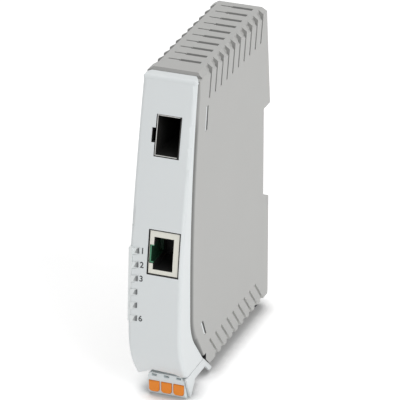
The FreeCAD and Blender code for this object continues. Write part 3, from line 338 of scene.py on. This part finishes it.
def ramp(tree, axis, start, end, first=0.0):
    """Mask that goes from a first level to 1 between two places along an axis."""
    def build(group, given):
        coords = group.nodes.new("ShaderNodeTexCoord")
        along = group.nodes.new("ShaderNodeVectorMath")
        along.operation = "DOT_PRODUCT"
        step = group.nodes.new("ShaderNodeMapRange")
        group.links.new(coords.outputs["Object"], along.inputs[0])
        group.links.new(given["Axis"], along.inputs[1])
        group.links.new(along.outputs["Value"], step.inputs["Value"])
        group.links.new(given["Start"], step.inputs["From Min"])
        group.links.new(given["End"], step.inputs["From Max"])
        group.links.new(given["First"], step.inputs["To Min"])
        return step.outputs["Result"]
    rows = (("Axis", "NodeSocketVector", AXES["Z"]), ("Start", FLOAT_SOCKET, 0.0),
            ("End", FLOAT_SOCKET, 1.0), ("First", FLOAT_SOCKET, 0.0))
    return placed(tree, shared_mask("place_ramp", rows, build),
                  {"Axis": AXES[axis], "Start": start, "End": end, "First": first})


def box_mask(tree, low, high):
    """1 inside a box that two corners give, 0 outside."""
    def build(group, given):
        add, link = group.nodes.new, group.links.new
        coords = add("ShaderNodeTexCoord")
        past_low, before_high, least = (add("ShaderNodeVectorMath") for _ in range(3))
        past_low.operation = before_high.operation = "SUBTRACT"
        least.operation = "MINIMUM"
        parts = add("ShaderNodeSeparateXYZ")
        inside = add("ShaderNodeMath")
        inside.operation = "GREATER_THAN"
        inside.inputs[1].default_value = 0.0
        link(coords.outputs["Object"], past_low.inputs[0])
        link(given["Low"], past_low.inputs[1])
        link(given["High"], before_high.inputs[0])
        link(coords.outputs["Object"], before_high.inputs[1])
        link(past_low.outputs["Vector"], least.inputs[0])
        link(before_high.outputs["Vector"], least.inputs[1])
        link(least.outputs["Vector"], parts.inputs["Vector"])
        across = math_node(group, "MINIMUM", parts.outputs["X"], parts.outputs["Z"])
        link(math_node(group, "MINIMUM", across, parts.outputs["Y"]), inside.inputs[0])
        return inside.outputs["Value"]
    rows = (("Low", "NodeSocketVector", (-FAR, -FAR, -FAR)),
            ("High", "NodeSocketVector", (FAR, FAR, FAR)))
    return placed(tree, shared_mask("box_mask", rows, build), {"Low": low, "High": high})


def mouth_mask(tree, front_y, right_x):
    """Mask of painted shade: 1 on a mouth's side walls, deep in it and right of a line, 0 on its
    front rim.
    """
    def build(group, given):
        sideways = math_node(group, "SUBTRACT", None, front_mask(group, *WALL_NORMALS))
        deep = ramp(group, "Y", given["Deep from"], given["Deep to"])
        right = math_node(group, "GREATER_THAN", parts_of(group, "Object")["X"],
                          given["Right edge"])
        return math_node(group, "MAXIMUM", sideways, math_node(group, "MAXIMUM", deep, right))
    rows = (("Deep from", FLOAT_SOCKET, 0.0), ("Deep to", FLOAT_SOCKET, 1.0),
            ("Right edge", FLOAT_SOCKET, FAR))
    deep_from, deep_to = (front_y + depth for depth in MOUTH_DEPTHS)
    return placed(tree, shared_mask("mouth_mask", rows, build),
                  {"Deep from": deep_from, "Deep to": deep_to, "Right edge": right_x})


def mix_base(mat, mask, other):
    """Base colour that goes from the material's own to another one by a mask."""
    tree = mat.node_tree
    base = tree.nodes["Principled BSDF"].inputs["Base Color"]
    mix = tree.nodes.new("ShaderNodeMix")
    mix.data_type = "RGBA"
    mix.inputs["A"].default_value = base.default_value
    mix.inputs["B"].default_value = (*other, 1.0)
    for earlier in base.links:
        tree.links.new(earlier.from_socket, mix.inputs["A"])
    tree.links.new(mask, mix.inputs["Factor"])
    tree.links.new(mix.outputs["Result"], base)


def shade_front_faces(mat):
    """Paints shade on faces that look to the front, most along the joint, and paints light on low
    grooves.
    """
    tree = mat.node_tree
    (low_z, joint_z), (joint_top_z, roof_z) = FLOOR_BAND, ROOF_BAND
    rise = ramp(tree, "Z", low_z, joint_z)
    fall = ramp(tree, "Z", roof_z, joint_top_z, first=ROOF_SHADE)
    ahead = ramp(tree, "Y", LIP_BAND[1], LIP_BAND[0])
    behind = ramp(tree, "Y", LIP_BAND[0], LIP_BAND[1])
    low = ramp(tree, "Z", joint_z, low_z)
    front = front_mask(tree, *LIP_NORMALS)
    base = tree.nodes["Principled BSDF"].inputs["Base Color"].default_value
    joint = math_node(tree, "MINIMUM", math_node(tree, "MAXIMUM", rise, ahead), fall)
    painted_groove_light = math_node(tree, "MULTIPLY", low, behind)
    shade = [SHADE_SHARE * base[n] for n in range(3)]
    mix_base(mat, math_node(tree, "MULTIPLY", front, joint), shade)
    mix_base(mat, math_node(tree, "MULTIPLY", front, painted_groove_light), GROOVE_PAINTED_LIGHT)


def shade_openings(mat, port, others):
    """Paints shade on walls that look sideways in the ports' windows, and on a narrow band for the
    gap round one port.
    """
    tree = mat.node_tree
    total = None
    for node in (port, *others):
        low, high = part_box(node)
        window = box_mask(tree, (low[0] - WINDOW_LEFT, -FAR, low[2] - WINDOW_RIM),
                          (high[0] + WINDOW_RIM, FAR, high[2] + WINDOW_RIM))
        total = window if total is None else math_node(tree, "MAXIMUM", total, window)
    sideways = math_node(tree, "SUBTRACT", None, front_mask(tree, *WALL_NORMALS))
    low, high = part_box(port)
    outer, inner = (box_mask(tree, (low[0] - grow, -FAR, low[2] - grow),
                             (high[0] + grow, FAR, high[2] + grow)) for grow in (PORT_GAP_SHADE, 0.0))
    mask = math_node(tree, "MAXIMUM", math_node(tree, "MULTIPLY", total, sideways),
                     math_node(tree, "SUBTRACT", outer, inner))
    mix_base(mat, mask, DARK_WALL)


def dress(mat, *nodes):
    """Gives each node the material."""
    for name in nodes:
        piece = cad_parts[name]
        if not piece.material_slots:
            piece.data.materials.append(mat)
        for slot in piece.material_slots:
            slot.material = mat


# ---- reworked forms -------------------------------------------------------------------------

def joined_mesh(node):
    """A CAD node's mesh with its loose triangles joined."""
    build = bmesh.new()
    build.from_mesh(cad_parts[node].data)
    bmesh.ops.remove_doubles(build, verts=build.verts, dist=WELD)
    mesh = bpy.data.meshes.new(node + "_joined")
    build.to_mesh(mesh)
    build.free()
    for extra in ("custom_normal", "sharp_face"):
        if extra in mesh.attributes:
            mesh.attributes.remove(mesh.attributes[extra])
    return mesh


def add_loft(build, start, end):
    """Closed body between two matching loops of points."""
    first = [build.verts.new(point) for point in start]
    last = [build.verts.new(point) for point in end]
    faces = [build.faces.new(first), build.faces.new(reversed(last))]
    for n in range(len(first)):
        m = (n + 1) % len(first)
        faces.append(build.faces.new((first[n], first[m], last[m], last[n])))
    bmesh.ops.recalc_face_normals(build, faces=faces)


def body_object(name, lofts):
    """Hidden helper object made of closed bodies."""
    build = bmesh.new()
    for start, end in lofts:
        add_loft(build, start, end)
    mesh = bpy.data.meshes.new(name)
    build.to_mesh(mesh)
    build.free()
    helper = bpy.data.objects.new(name, mesh)
    bpy.context.scene.collection.objects.link(helper)
    return helper


def across(name, section, half):
    """Hidden helper body with a (y, z) section that reaches half its width to each side."""
    return body_object(name, [([(-half, y, z) for y, z in section],
                               [(half, y, z) for y, z in section])])


def quarter(radius):
    """Points of a quarter circle from its side to its top."""
    turns = [math.radians(90.0 * n / QUARTER_STEPS) for n in range(QUARTER_STEPS + 1)]
    return [(radius * math.cos(turn), radius * math.sin(turn)) for turn in turns]


def notch_cutter(name, rise, lean):
    """Cutter for one tapered notch in each long edge; rise is 1 at the roof, -1 at the floor."""
    lofts = []
    for side in (-1, 1):
        start = [(side * x * MM, (NOTCH_REAR + lean * z) * MM, rise * z * MM)
                 for x, z in NOTCH_REAR_SECTION]
        end = [(side * x * MM, (NOTCH_REAR - NOTCH_LENGTH) * MM, rise * z * MM)
               for x, z in NOTCH_FRONT_SECTION]
        lofts.append((start, end))
    return body_object(name, lofts)


def notch_tree():
    """Node tree that cuts a row of notches out of the mesh it is given."""
    tree = bpy.data.node_groups.new("louvre_notches", "GeometryNodeTree")
    socket = tree.interface.new_socket
    socket("Geometry", in_out="INPUT", socket_type="NodeSocketGeometry")
    socket("Cutter", in_out="INPUT", socket_type="NodeSocketObject")
    socket("Count", in_out="INPUT", socket_type="NodeSocketInt")
    socket("First place", in_out="INPUT", socket_type="NodeSocketVector")
    socket("Step", in_out="INPUT", socket_type="NodeSocketVector")
    socket("Material", in_out="INPUT", socket_type="NodeSocketMaterial")
    socket("Geometry", in_out="OUTPUT", socket_type="NodeSocketGeometry")
    add, link = tree.nodes.new, tree.links.new
    inputs, outputs = add("NodeGroupInput"), add("NodeGroupOutput")
    cutter = add("GeometryNodeObjectInfo")
    line = add("GeometryNodeMeshLine")
    row = add("GeometryNodeInstanceOnPoints")
    real_row = add("GeometryNodeRealizeInstances")
    cut = add("GeometryNodeMeshBoolean")
    cut.operation = "DIFFERENCE"
    cut.solver = "EXACT"
    real = add("GeometryNodeRealizeInstances")
    paint = add("GeometryNodeSetMaterial")
    link(inputs.outputs["Cutter"], cutter.inputs["Object"])
    link(inputs.outputs["Count"], line.inputs["Count"])
    link(inputs.outputs["First place"], line.inputs["Start Location"])
    link(inputs.outputs["Step"], line.inputs["Offset"])
    link(line.outputs["Mesh"], row.inputs["Points"])
    link(cutter.outputs["Geometry"], row.inputs["Instance"])
    link(row.outputs["Instances"], real_row.inputs["Geometry"])
    link(inputs.outputs["Geometry"], cut.inputs["Mesh 1"])
    link(real_row.outputs["Geometry"], cut.inputs["Mesh 2"])
    link(cut.outputs["Mesh"], real.inputs["Geometry"])
    link(real.outputs["Geometry"], paint.inputs["Geometry"])
    link(inputs.outputs["Material"], paint.inputs["Material"])
    link(paint.outputs["Geometry"], outputs.inputs["Geometry"])
    return tree


def made_by(source, setup):
    """Plain mesh that the modifiers set up on a host object make of a mesh."""
    host = bpy.data.objects.new("host", source)
    bpy.context.scene.collection.objects.link(host)
    setup(host)
    depsgraph = bpy.context.evaluated_depsgraph_get()
    mesh = bpy.data.meshes.new_from_object(host.evaluated_get(depsgraph))
    bpy.data.objects.remove(host)
    return mesh


def notched(source, tree, values):
    """A mesh with one row of notches cut out."""
    def setup(host):
        modifier = host.modifiers.new("notches", "NODES")
        modifier.node_group = tree
        for item in tree.interface.items_tree:
            if item.in_out == "INPUT" and item.name in values:
                modifier[item.identifier] = values[item.name]
    return made_by(source, setup)


def combined(source, helper, operation):
    """A mesh cut by, joined to or kept inside a helper object, which is removed."""
    def setup(host):
        modifier = host.modifiers.new("form", "BOOLEAN")
        modifier.operation = operation
        modifier.solver = "EXACT"
        modifier.object = helper
    mesh = made_by(source, setup)
    bpy.data.objects.remove(helper)
    return mesh


def round_front_lip(mesh):
    """Rounds the housing's outer edge along the joint with the cover."""
    build = bmesh.new()
    build.from_mesh(mesh)
    bmesh.ops.remove_doubles(build, verts=build.verts, dist=WELD)
    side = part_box("housing")[1][0]
    lip = []
    for edge in build.edges:
        if len(edge.link_faces) != 2:
            continue
        normals = sorted((face.normal for face in edge.link_faces), key=lambda n: abs(n.x))
        on_side = all(abs(abs(vertex.co.x) - side) < 0.02 * MM for vertex in edge.verts)
        middle = (edge.verts[0].co + edge.verts[1].co) / 2
        if on_side and middle.y < LIP_Y and abs(normals[1].x) > 0.99 and normals[0].y < -0.7:
            lip.append(edge)
    bmesh.ops.bevel(build, geom=lip, offset=LIP_R, segments=4, profile=0.5, affect="EDGES")
    build.to_mesh(mesh)
    build.free()


def show_piece(name, mesh, mat, body, node):
    """Shows a reworked form in place of its CAD node."""
    mesh.name = name
    mesh.materials.clear()
    mesh.materials.append(mat)
    mesh.shade_smooth()
    mesh.set_sharp_from_angle(angle=CREASE)

    def even_shading(host):
        modifier = host.modifiers.new("even", "WEIGHTED_NORMAL")
        modifier.keep_sharp = True
    piece = bpy.data.objects.new(name, made_by(mesh, even_shading))
    bpy.context.scene.collection.objects.link(piece)
    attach(piece, body)
    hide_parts(node)
    return piece


# ---- pieces ---------------------------------------------------------------------------------

class ShellLook(bpy.types.Operator):
    """Grey housing, white cover and frame, frosted light guide and rail latch"""

    bl_idname = "converter.shell"
    bl_label = "Shell"

    def execute(self, context):
        _, colours = settings()
        grey = material("housing_grey", colours.grey, 0.55, 0.25, round_edges=0.25 * MM)
        # Painted shade on front faces along the joint and in the slots, painted light in the low
        # grooves.
        shade_front_faces(grey)
        # Painted shade in the nook where cover, hook and housing meet at the joint's lower end.
        nook_shade = box_mask(grey.node_tree, (-FAR, FOOT_SHADE_Y[0], FOOT_SHADE_Z[0]), (FAR, FOOT_SHADE_Y[1], FOOT_SHADE_Z[1]))
        mix_base(grey, nook_shade, DARK_WALL)
        self.housing(grey)
        white = material("cover_white", colours.white, 0.32, 0.1, round_edges=0.2 * MM)
        # Painted shade in the ports' windows and in the gap round the network port.
        shade_openings(white, "rj45_insert", ["sfp_cage"])
        self.cover(white)
        dress(white, "terminal_frame")
        dress(material("guide_frost", colours.guide, 0.35, 0.05, coat=0.2, round_edges=0.15 * MM),
              "light_guide")
        dress(material("latch_grey", colours.latch, 0.5, 0.2, round_edges=0.2 * MM), "rail_latch")
        return {"FINISHED"}

    def housing(self, grey):
        """Housing with tapered notches in its long edges, a stepped brow and a rounded lip."""
        high_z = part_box("housing")[1][2]
        tree = notch_tree()
        mesh = joined_mesh("housing")
        for row, z, rise in ((ROOF_NOTCHES, high_z, 1), (FLOOR_NOTCHES, FLOOR_NOTCH_Z, -1)):
            cutter = notch_cutter("notch_cutter", rise, row["lean"])
            mesh = notched(mesh, tree, {
                "Cutter": cutter, "Count": row["count"], "First place": (0.0, row["first_y"], z),
                "Step": (0.0, -row["pitch"], 0.0), "Material": grey})
            bpy.data.objects.remove(cutter)
        brow, over = BROW_BACK - BROW_RUN, high_z + BROW_PAST * BROW_FALL
        section = [(BROW_BACK + BROW_PAST * BROW_RUN, over), (brow, high_z - BROW_FALL),
                   (brow, BROW_Z), (BROW_FRONT, BROW_Z), (BROW_FRONT, over)]
        mesh = combined(mesh, across("brow_cutter", section, CUT_HALF), "DIFFERENCE")
        round_front_lip(mesh)
        show_piece("louvred_housing", mesh, grey, "body", "housing")

    def cover(self, white):
        """Cover whose rounded top edge reaches back under the roof's front edge."""
        low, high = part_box("front_cover")
        half = high[0]
        trim = across("top_trim", [(CUT_FRONT, LID_Z), (CUT_FRONT, CUT_TOP), (0.0, CUT_TOP),
                                   (0.0, LID_Z)], CUT_HALF)
        shell = combined(joined_mesh("front_cover"), trim, "DIFFERENCE")
        rounding = [(LID_FRONT + LID_R - y, LID_TOP - LID_R + z) for y, z in quarter(LID_R)]
        ledge = BROW_Z + LID_GAP
        section = [(LID_FRONT, LID_Z)] + rounding + [
            (LID_BACK - LID_BREAK, LID_TOP), (LID_BACK, LID_TOP - LID_BREAK), (LID_BACK, ledge),
            (LID_JOINT, ledge), (LID_JOINT, LID_Z)]
        lid = across("cover_lid", section, half)
        right = [(half - EDGE_R + x, LID_FRONT + EDGE_R - y) for x, y in quarter(EDGE_R)]
        rear = [(half, LID_JOINT), (half - LID_TAPER, LID_BACK), (half - LID_TAPER, 0.0)]
        plan = ([(-x, y) for x, y in right] + right[::-1] + rear
                + [(-x, y) for x, y in rear[::-1]])
        sides = body_object("lid_plan", [([(x, y, LID_FOOT) for x, y in plan],
                                          [(x, y, CUT_TOP) for x, y in plan])])
        right = [(half - CORNER_R + x, LID_TOP - CORNER_R + z) for x, z in quarter(CORNER_R)]
        outline = [(-half, low[2]), (half, low[2])] + right + [(-x, z) for x, z in right[::-1]]
        front = body_object("lid_outline", [([(x, CUT_FRONT, z) for x, z in outline],
                                             [(x, 0.0, z) for x, z in outline])])
        edge = lid.data
        bpy.data.objects.remove(lid)
        for helper in (sides, front):
            edge = combined(edge, helper, "INTERSECT")
        build = bmesh.new()
        build.from_mesh(shell)
        build.from_mesh(edge)
        mesh = bpy.data.meshes.new("bowed_cover")
        build.to_mesh(mesh)
        build.free()
        show_piece("bowed_cover", mesh, white, "body", "front_cover")


class PortsLook(bpy.types.Operator):
    """Module cage, network socket and their contacts"""

    bl_idname = "converter.ports"
    bl_label = "Ports"

    def execute(self, context):
        _, colours = settings()
        cage = material("cage_steel", colours.steel, 0.35, metallic=0.6)
        low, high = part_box("sfp_cage")
        # Painted shade deep in the cage and along its right edge.
        mix_base(cage, mouth_mask(cage.node_tree, low[1], high[0] - CAGE_RIM), DARK_CAGE)
        dress(cage, "sfp_cage")
        dress(material("spring_steel", colours.steel, 0.3, metallic=1.0),
              "sfp_cage_springs", "rj45_shield")
        ivory = material("collar_ivory", colours.ivory, 0.4, 0.1, round_edges=0.15 * MM)
        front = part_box("rj45_insert")[0][1]
        # Painted shade deep in the collar's mouth.
        mix_base(ivory, mouth_mask(ivory.node_tree, front, FAR), DARK_COLLAR)
        dress(ivory, "rj45_insert")
        green = material("latch_green", colours.green, 0.4, 0.1)
        # Painted shade deep in the latch slot.
        mix_base(green, mouth_mask(green.node_tree, front, FAR), DARK_LATCH)
        dress(green, "rj45_latch_insert")
        dress(material("contact_gold", colours.gold, 0.3, metallic=1.0),
              "rj45_contacts", "sfp_contacts")
        return {"FINISHED"}


class PlugLook(bpy.types.Operator):
    """Power plug, its levers and metal parts"""

    bl_idname = "converter.plug"
    bl_label = "Power plug"

    def execute(self, context):
        _, colours = settings()
        dress(material("plug_white", colours.plug, 0.4, 0.1, round_edges=0.15 * MM),
              "plug_housing", "power_header")
        dress(material("lever_orange", colours.orange, 0.38, 0.05, coat=0.1,
                       round_edges=0.5 * MM),
              "release_lever_1", "release_lever_2", "release_lever_3")
        dress(material("clip_tin", colours.tin, 0.35, metallic=1.0),
              "plug_contacts", "clamp_springs", "header_pins", "latch_spring")
        return {"FINISHED"}


class BoardLook(bpy.types.Operator):
    """Circuit board and the parts on it"""

    bl_idname = "converter.board"
    bl_label = "Board"

    def execute(self, context):
        _, colours = settings()
        dress(material("board_mask", colours.board, 0.35, coat=0.2), "circuit_board")
        dress(material("chip_black", colours.chip, 0.5, 0.2), "converter_chip", "phy_chip",
              "isolation_transformer", "power_fuse", "power_inductor", "sfp_connector")
        dress(material("can_metal", colours.can, 0.3, metallic=1.0), "crystal_can",
              "electrolytic_capacitors")
        dress(material("ceramic_tan", colours.ceramic, 0.6), "chip_capacitors")
        dress(material("light_resin", colours.resin, 0.2, coat=0.5), "led_chips")
        return {"FINISHED"}


# ---- painted shade marks and printed digits -------------------------------------------------

def surface_tree(name):
    """Search tree over an object's own mesh."""
    mesh = bpy.data.objects[name].data
    return BVHTree.FromPolygons([vertex.co for vertex in mesh.vertices],
                                [face.vertices for face in mesh.polygons])


def face_hit(surfaces, x, z):
    """Foremost point of the given surfaces at a place of the front view, and its normal."""
    start, ahead = Vector((x, IN_FRONT, z)), Vector((0.0, 1.0, 0.0))
    hits = [surface.ray_cast(start, ahead) for surface in surfaces]
    hits = [hit for hit in hits if hit[0]]
    if not hits:
        raise RuntimeError("no cover at x %.4f, z %.4f" % (x, z))
    point, normal, _, _ = min(hits, key=lambda hit: hit[0].y)
    return point, normal


def ink_piece(name, grids, surfaces, lift, mat):
    """Thin shapes of painted shade on the cover from grids of (x, z) points."""
    mesh = bpy.data.meshes.new(name)
    build = bmesh.new()
    for grid in grids:
        rows = []
        for row in grid:
            rows.append([])
            for x, z in row:
                point, normal = face_hit(surfaces, x, z)
                rows[-1].append(build.verts.new(point + normal * lift))
        for under, over in zip(rows, rows[1:]):
            for n in range(len(under) - 1):
                build.faces.new((under[n], under[n + 1], over[n + 1], over[n]))
    build.to_mesh(mesh)
    build.free()
    piece = bpy.data.objects.new(name, mesh)
    bpy.context.scene.collection.objects.link(piece)
    piece.data.materials.append(mat)
    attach(piece, "body")
    return piece


class PrintedMarks(bpy.types.Operator):
    """Small triangles of painted shade and plain printed digits beside the status lights"""

    bl_idname = "converter.marks"
    bl_label = "Printed marks"

    def execute(self, context):
        sizes, colours = settings()
        ink = material("print_ink", colours.ink, 0.6)
        # Triangles of painted shade where the light guide's fans show grey, paler towards the left.
        fan_shade = material("painted_fan_shade", colours.ink, 0.6)
        fade = ramp(fan_shade.node_tree, "X", MARK_LEFT + sizes.mark_width, MARK_LEFT)
        mix_base(fan_shade, fade, FAN_SHADE_PALE)
        low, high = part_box("led_chips")
        step = (high[2] - low[2] - 2 * LIGHT_END) / (LIGHTS - 1)
        triangles = [self.triangle(low[2] + LIGHT_END + n * step, sizes.mark_width,
                                   sizes.mark_height) for n in range(LIGHTS)]
        surfaces = [surface_tree("bowed_cover"), surface_tree("light_guide")]
        ink_piece("light_marks", triangles, surfaces, sizes.print_lift, fan_shade)
        for number in DIGITS:
            z = high[2] - LIGHT_END - (number - 1) * step
            self.digit(number, (DIGIT_X, z), surfaces, ink)
        return {"FINISHED"}

    def triangle(self, z, width, height):
        """Grid of points over one mark, whose left side slopes in towards its top."""
        rows = []
        for m in range(MARK_CELLS + 1):
            up = m / MARK_CELLS
            reach = width * (1.0 - MARK_TIP * up)
            rows.append([(MARK_LEFT + width - reach * (1.0 - k / MARK_CELLS),
                          z + height * (up - 0.5)) for k in range(MARK_CELLS + 1)])
        return rows

    def digit(self, number, place, surfaces, ink):
        """One plain digit, laid on the cover at an (x, z) place."""
        sizes, _ = settings()
        curve = bpy.data.curves.new("digit_curve", "FONT")
        curve.body = str(number)
        curve.size = sizes.digit_height / CAPITAL
        curve.offset = sizes.digit_weight
        curve.align_x = "CENTER"
        curve.align_y = "CENTER"
        temporary = bpy.data.objects.new("digit_temporary", curve)
        bpy.context.scene.collection.objects.link(temporary)
        depsgraph = bpy.context.evaluated_depsgraph_get()
        mesh = bpy.data.meshes.new_from_object(temporary.evaluated_get(depsgraph))
        bpy.data.objects.remove(temporary)
        bpy.data.curves.remove(curve)
        for vertex in mesh.vertices:
            point, normal = face_hit(surfaces, place[0] + vertex.co.x, place[1] + vertex.co.y)
            vertex.co = point + normal * sizes.print_lift
        mesh.materials.clear()
        mesh.materials.append(ink)
        piece = bpy.data.objects.new("digit_%d" % number, mesh)
        bpy.context.scene.collection.objects.link(piece)
        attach(piece, "body")


# ---- stage ----------------------------------------------------------------------------------

def area_light(name, place, size, watts):
    """Square soft light that looks at the converter."""
    data = bpy.data.lights.new(name, "AREA")
    data.size = size
    data.energy = watts
    light = bpy.data.objects.new(name, data)
    light.location = place
    aim = Vector(LIGHT_TARGET) - light.location
    light.rotation_euler = aim.to_track_quat("-Z", "Y").to_euler()
    bpy.context.scene.collection.objects.link(light)


def camera_ray(tree, socket, usual, seen):
    """Strength that is one value as light and another where it is seen, also in a reflection."""
    path = tree.nodes.new("ShaderNodeLightPath")
    shown = math_node(tree, "MAXIMUM", path.outputs["Is Camera Ray"], path.outputs["Is Glossy Ray"])
    shown = math_node(tree, "MAXIMUM", shown, path.outputs["Is Transmission Ray"])
    strength = tree.nodes.new("ShaderNodeMapRange")
    strength.inputs["To Min"].default_value = usual
    strength.inputs["To Max"].default_value = seen
    tree.links.new(shown, strength.inputs["Value"])
    tree.links.new(strength.outputs["Result"], socket)
    return strength


class Stage(bpy.types.Operator):
    """Pale floor, soft light from the right, white background and the camera"""

    bl_idname = "converter.stage"
    bl_label = "Stage"

    def execute(self, context):
        scene = bpy.context.scene
        scene.view_settings.view_transform = "Standard"
        self.floor()
        self.world(scene)
        area_light("key_light", *KEY_LIGHT)
        area_light("top_light", *TOP_LIGHT)
        data = bpy.data.cameras.new("camera")
        data.lens = CAMERA_LENS
        data.sensor_width = 36.0
        data.clip_end = 10.0
        camera = bpy.data.objects.new("camera", data)
        camera.location = CAMERA_PLACE
        camera.rotation_euler = CAMERA_TURN
        scene.collection.objects.link(camera)
        scene.camera = camera
        return {"FINISHED"}

    def floor(self):
        """Flat pale floor with a little glow of its own, so that it meets the white background."""
        mesh = bpy.data.meshes.new("floor")
        build = bmesh.new()
        bmesh.ops.create_grid(build, x_segments=1, y_segments=1, size=FLOOR_HALF)
        build.to_mesh(mesh)
        build.free()
        floor = bpy.data.objects.new("floor", mesh)
        bpy.context.scene.collection.objects.link(floor)
        mat = bpy.data.materials.new("floor_white")
        mat.use_nodes = True
        shader = mat.node_tree.nodes["Principled BSDF"]
        shader.inputs["Roughness"].default_value = 0.9
        shader.inputs["Specular IOR Level"].default_value = 0.0
        shader.inputs["Emission Color"].default_value = (1.0, 1.0, 1.0, 1.0)
        self.glow(mat.node_tree, shader)
        mesh.materials.append(mat)

    def glow(self, tree, shader):
        """Floor that glows to the camera, but less and darker in the nook on the right, as a
        painted contact shadow.
        """
        add, link = tree.nodes.new, tree.links.new
        nook_shade = add("ShaderNodeAmbientOcclusion")
        nook_shade.samples = 16
        nook_shade.inputs["Distance"].default_value = NOOK_REACH
        open_floor = add("ShaderNodeMapRange")
        open_floor.inputs["From Min"].default_value = 0.5
        open_floor.inputs["From Max"].default_value = 0.95
        link(nook_shade.outputs["AO"], open_floor.inputs["Value"])
        left = ramp(tree, "X", *SHADE_LEFT)
        clear = math_node(tree, "MAXIMUM", open_floor.outputs["Result"], left)
        seen = camera_ray(tree, shader.inputs["Emission Strength"], FLOOR_GLOW, FLOOR_SEEN)
        lit = add("ShaderNodeMapRange")
        lit.inputs["To Max"].default_value = FLOOR_SEEN
        link(clear, lit.inputs["Value"])
        link(lit.outputs["Result"], seen.inputs["To Max"])
        tone = add("ShaderNodeMix")
        tone.data_type = "RGBA"
        tone.inputs["A"].default_value, tone.inputs["B"].default_value = FLOOR_TONES
        link(clear, tone.inputs["Factor"])
        link(tone.outputs["Result"], shader.inputs["Base Color"])

    def world(self, scene):
        """White to the camera, softer to everything else."""
        world = bpy.data.worlds.new("studio")
        world.use_nodes = True
        scene.world = world
        tree = world.node_tree
        back = tree.nodes["Background"]
        back.inputs["Color"].default_value = (1.0, 1.0, 1.0, 1.0)
        camera_ray(tree, back.inputs["Strength"], WORLD_LIGHT, 1.0)


class ConverterPanel(bpy.types.Panel):
    """Sizes, colours and steps of the converter"""

    bl_idname = "VIEW3D_PT_converter"
    bl_label = "Media converter"
    bl_space_type = "VIEW_3D"
    bl_region_type = "UI"
    bl_category = "Converter"

    def draw(self, context):
        layout = self.layout
        for group in settings():
            for name in group.__annotations__:
                layout.prop(group, name)
        for operator in OPERATORS:
            layout.operator(operator.bl_idname)


OPERATORS = (ShellLook, PortsLook, PlugLook, BoardLook, PrintedMarks, Stage)
CLASSES = (ConverterSizes, ConverterColours) + OPERATORS + (ConverterPanel,)


def register():
    """Adds the classes and the settings."""
    for item in CLASSES:
        bpy.utils.register_class(item)
    bpy.types.Scene.converter_sizes = bpy.props.PointerProperty(type=ConverterSizes)
    bpy.types.Scene.converter_colours = bpy.props.PointerProperty(type=ConverterColours)


def unregister():
    """Takes them away again."""
    del bpy.types.Scene.converter_colours
    del bpy.types.Scene.converter_sizes
    for item in reversed(CLASSES):
        bpy.utils.unregister_class(item)


def main():
    """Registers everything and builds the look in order."""
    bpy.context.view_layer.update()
    register()
    bpy.ops.converter.shell()
    bpy.ops.converter.ports()
    bpy.ops.converter.plug()
    bpy.ops.converter.board()
    bpy.ops.converter.marks()
    bpy.ops.converter.stage()


if __name__ == "__main__":
    main()
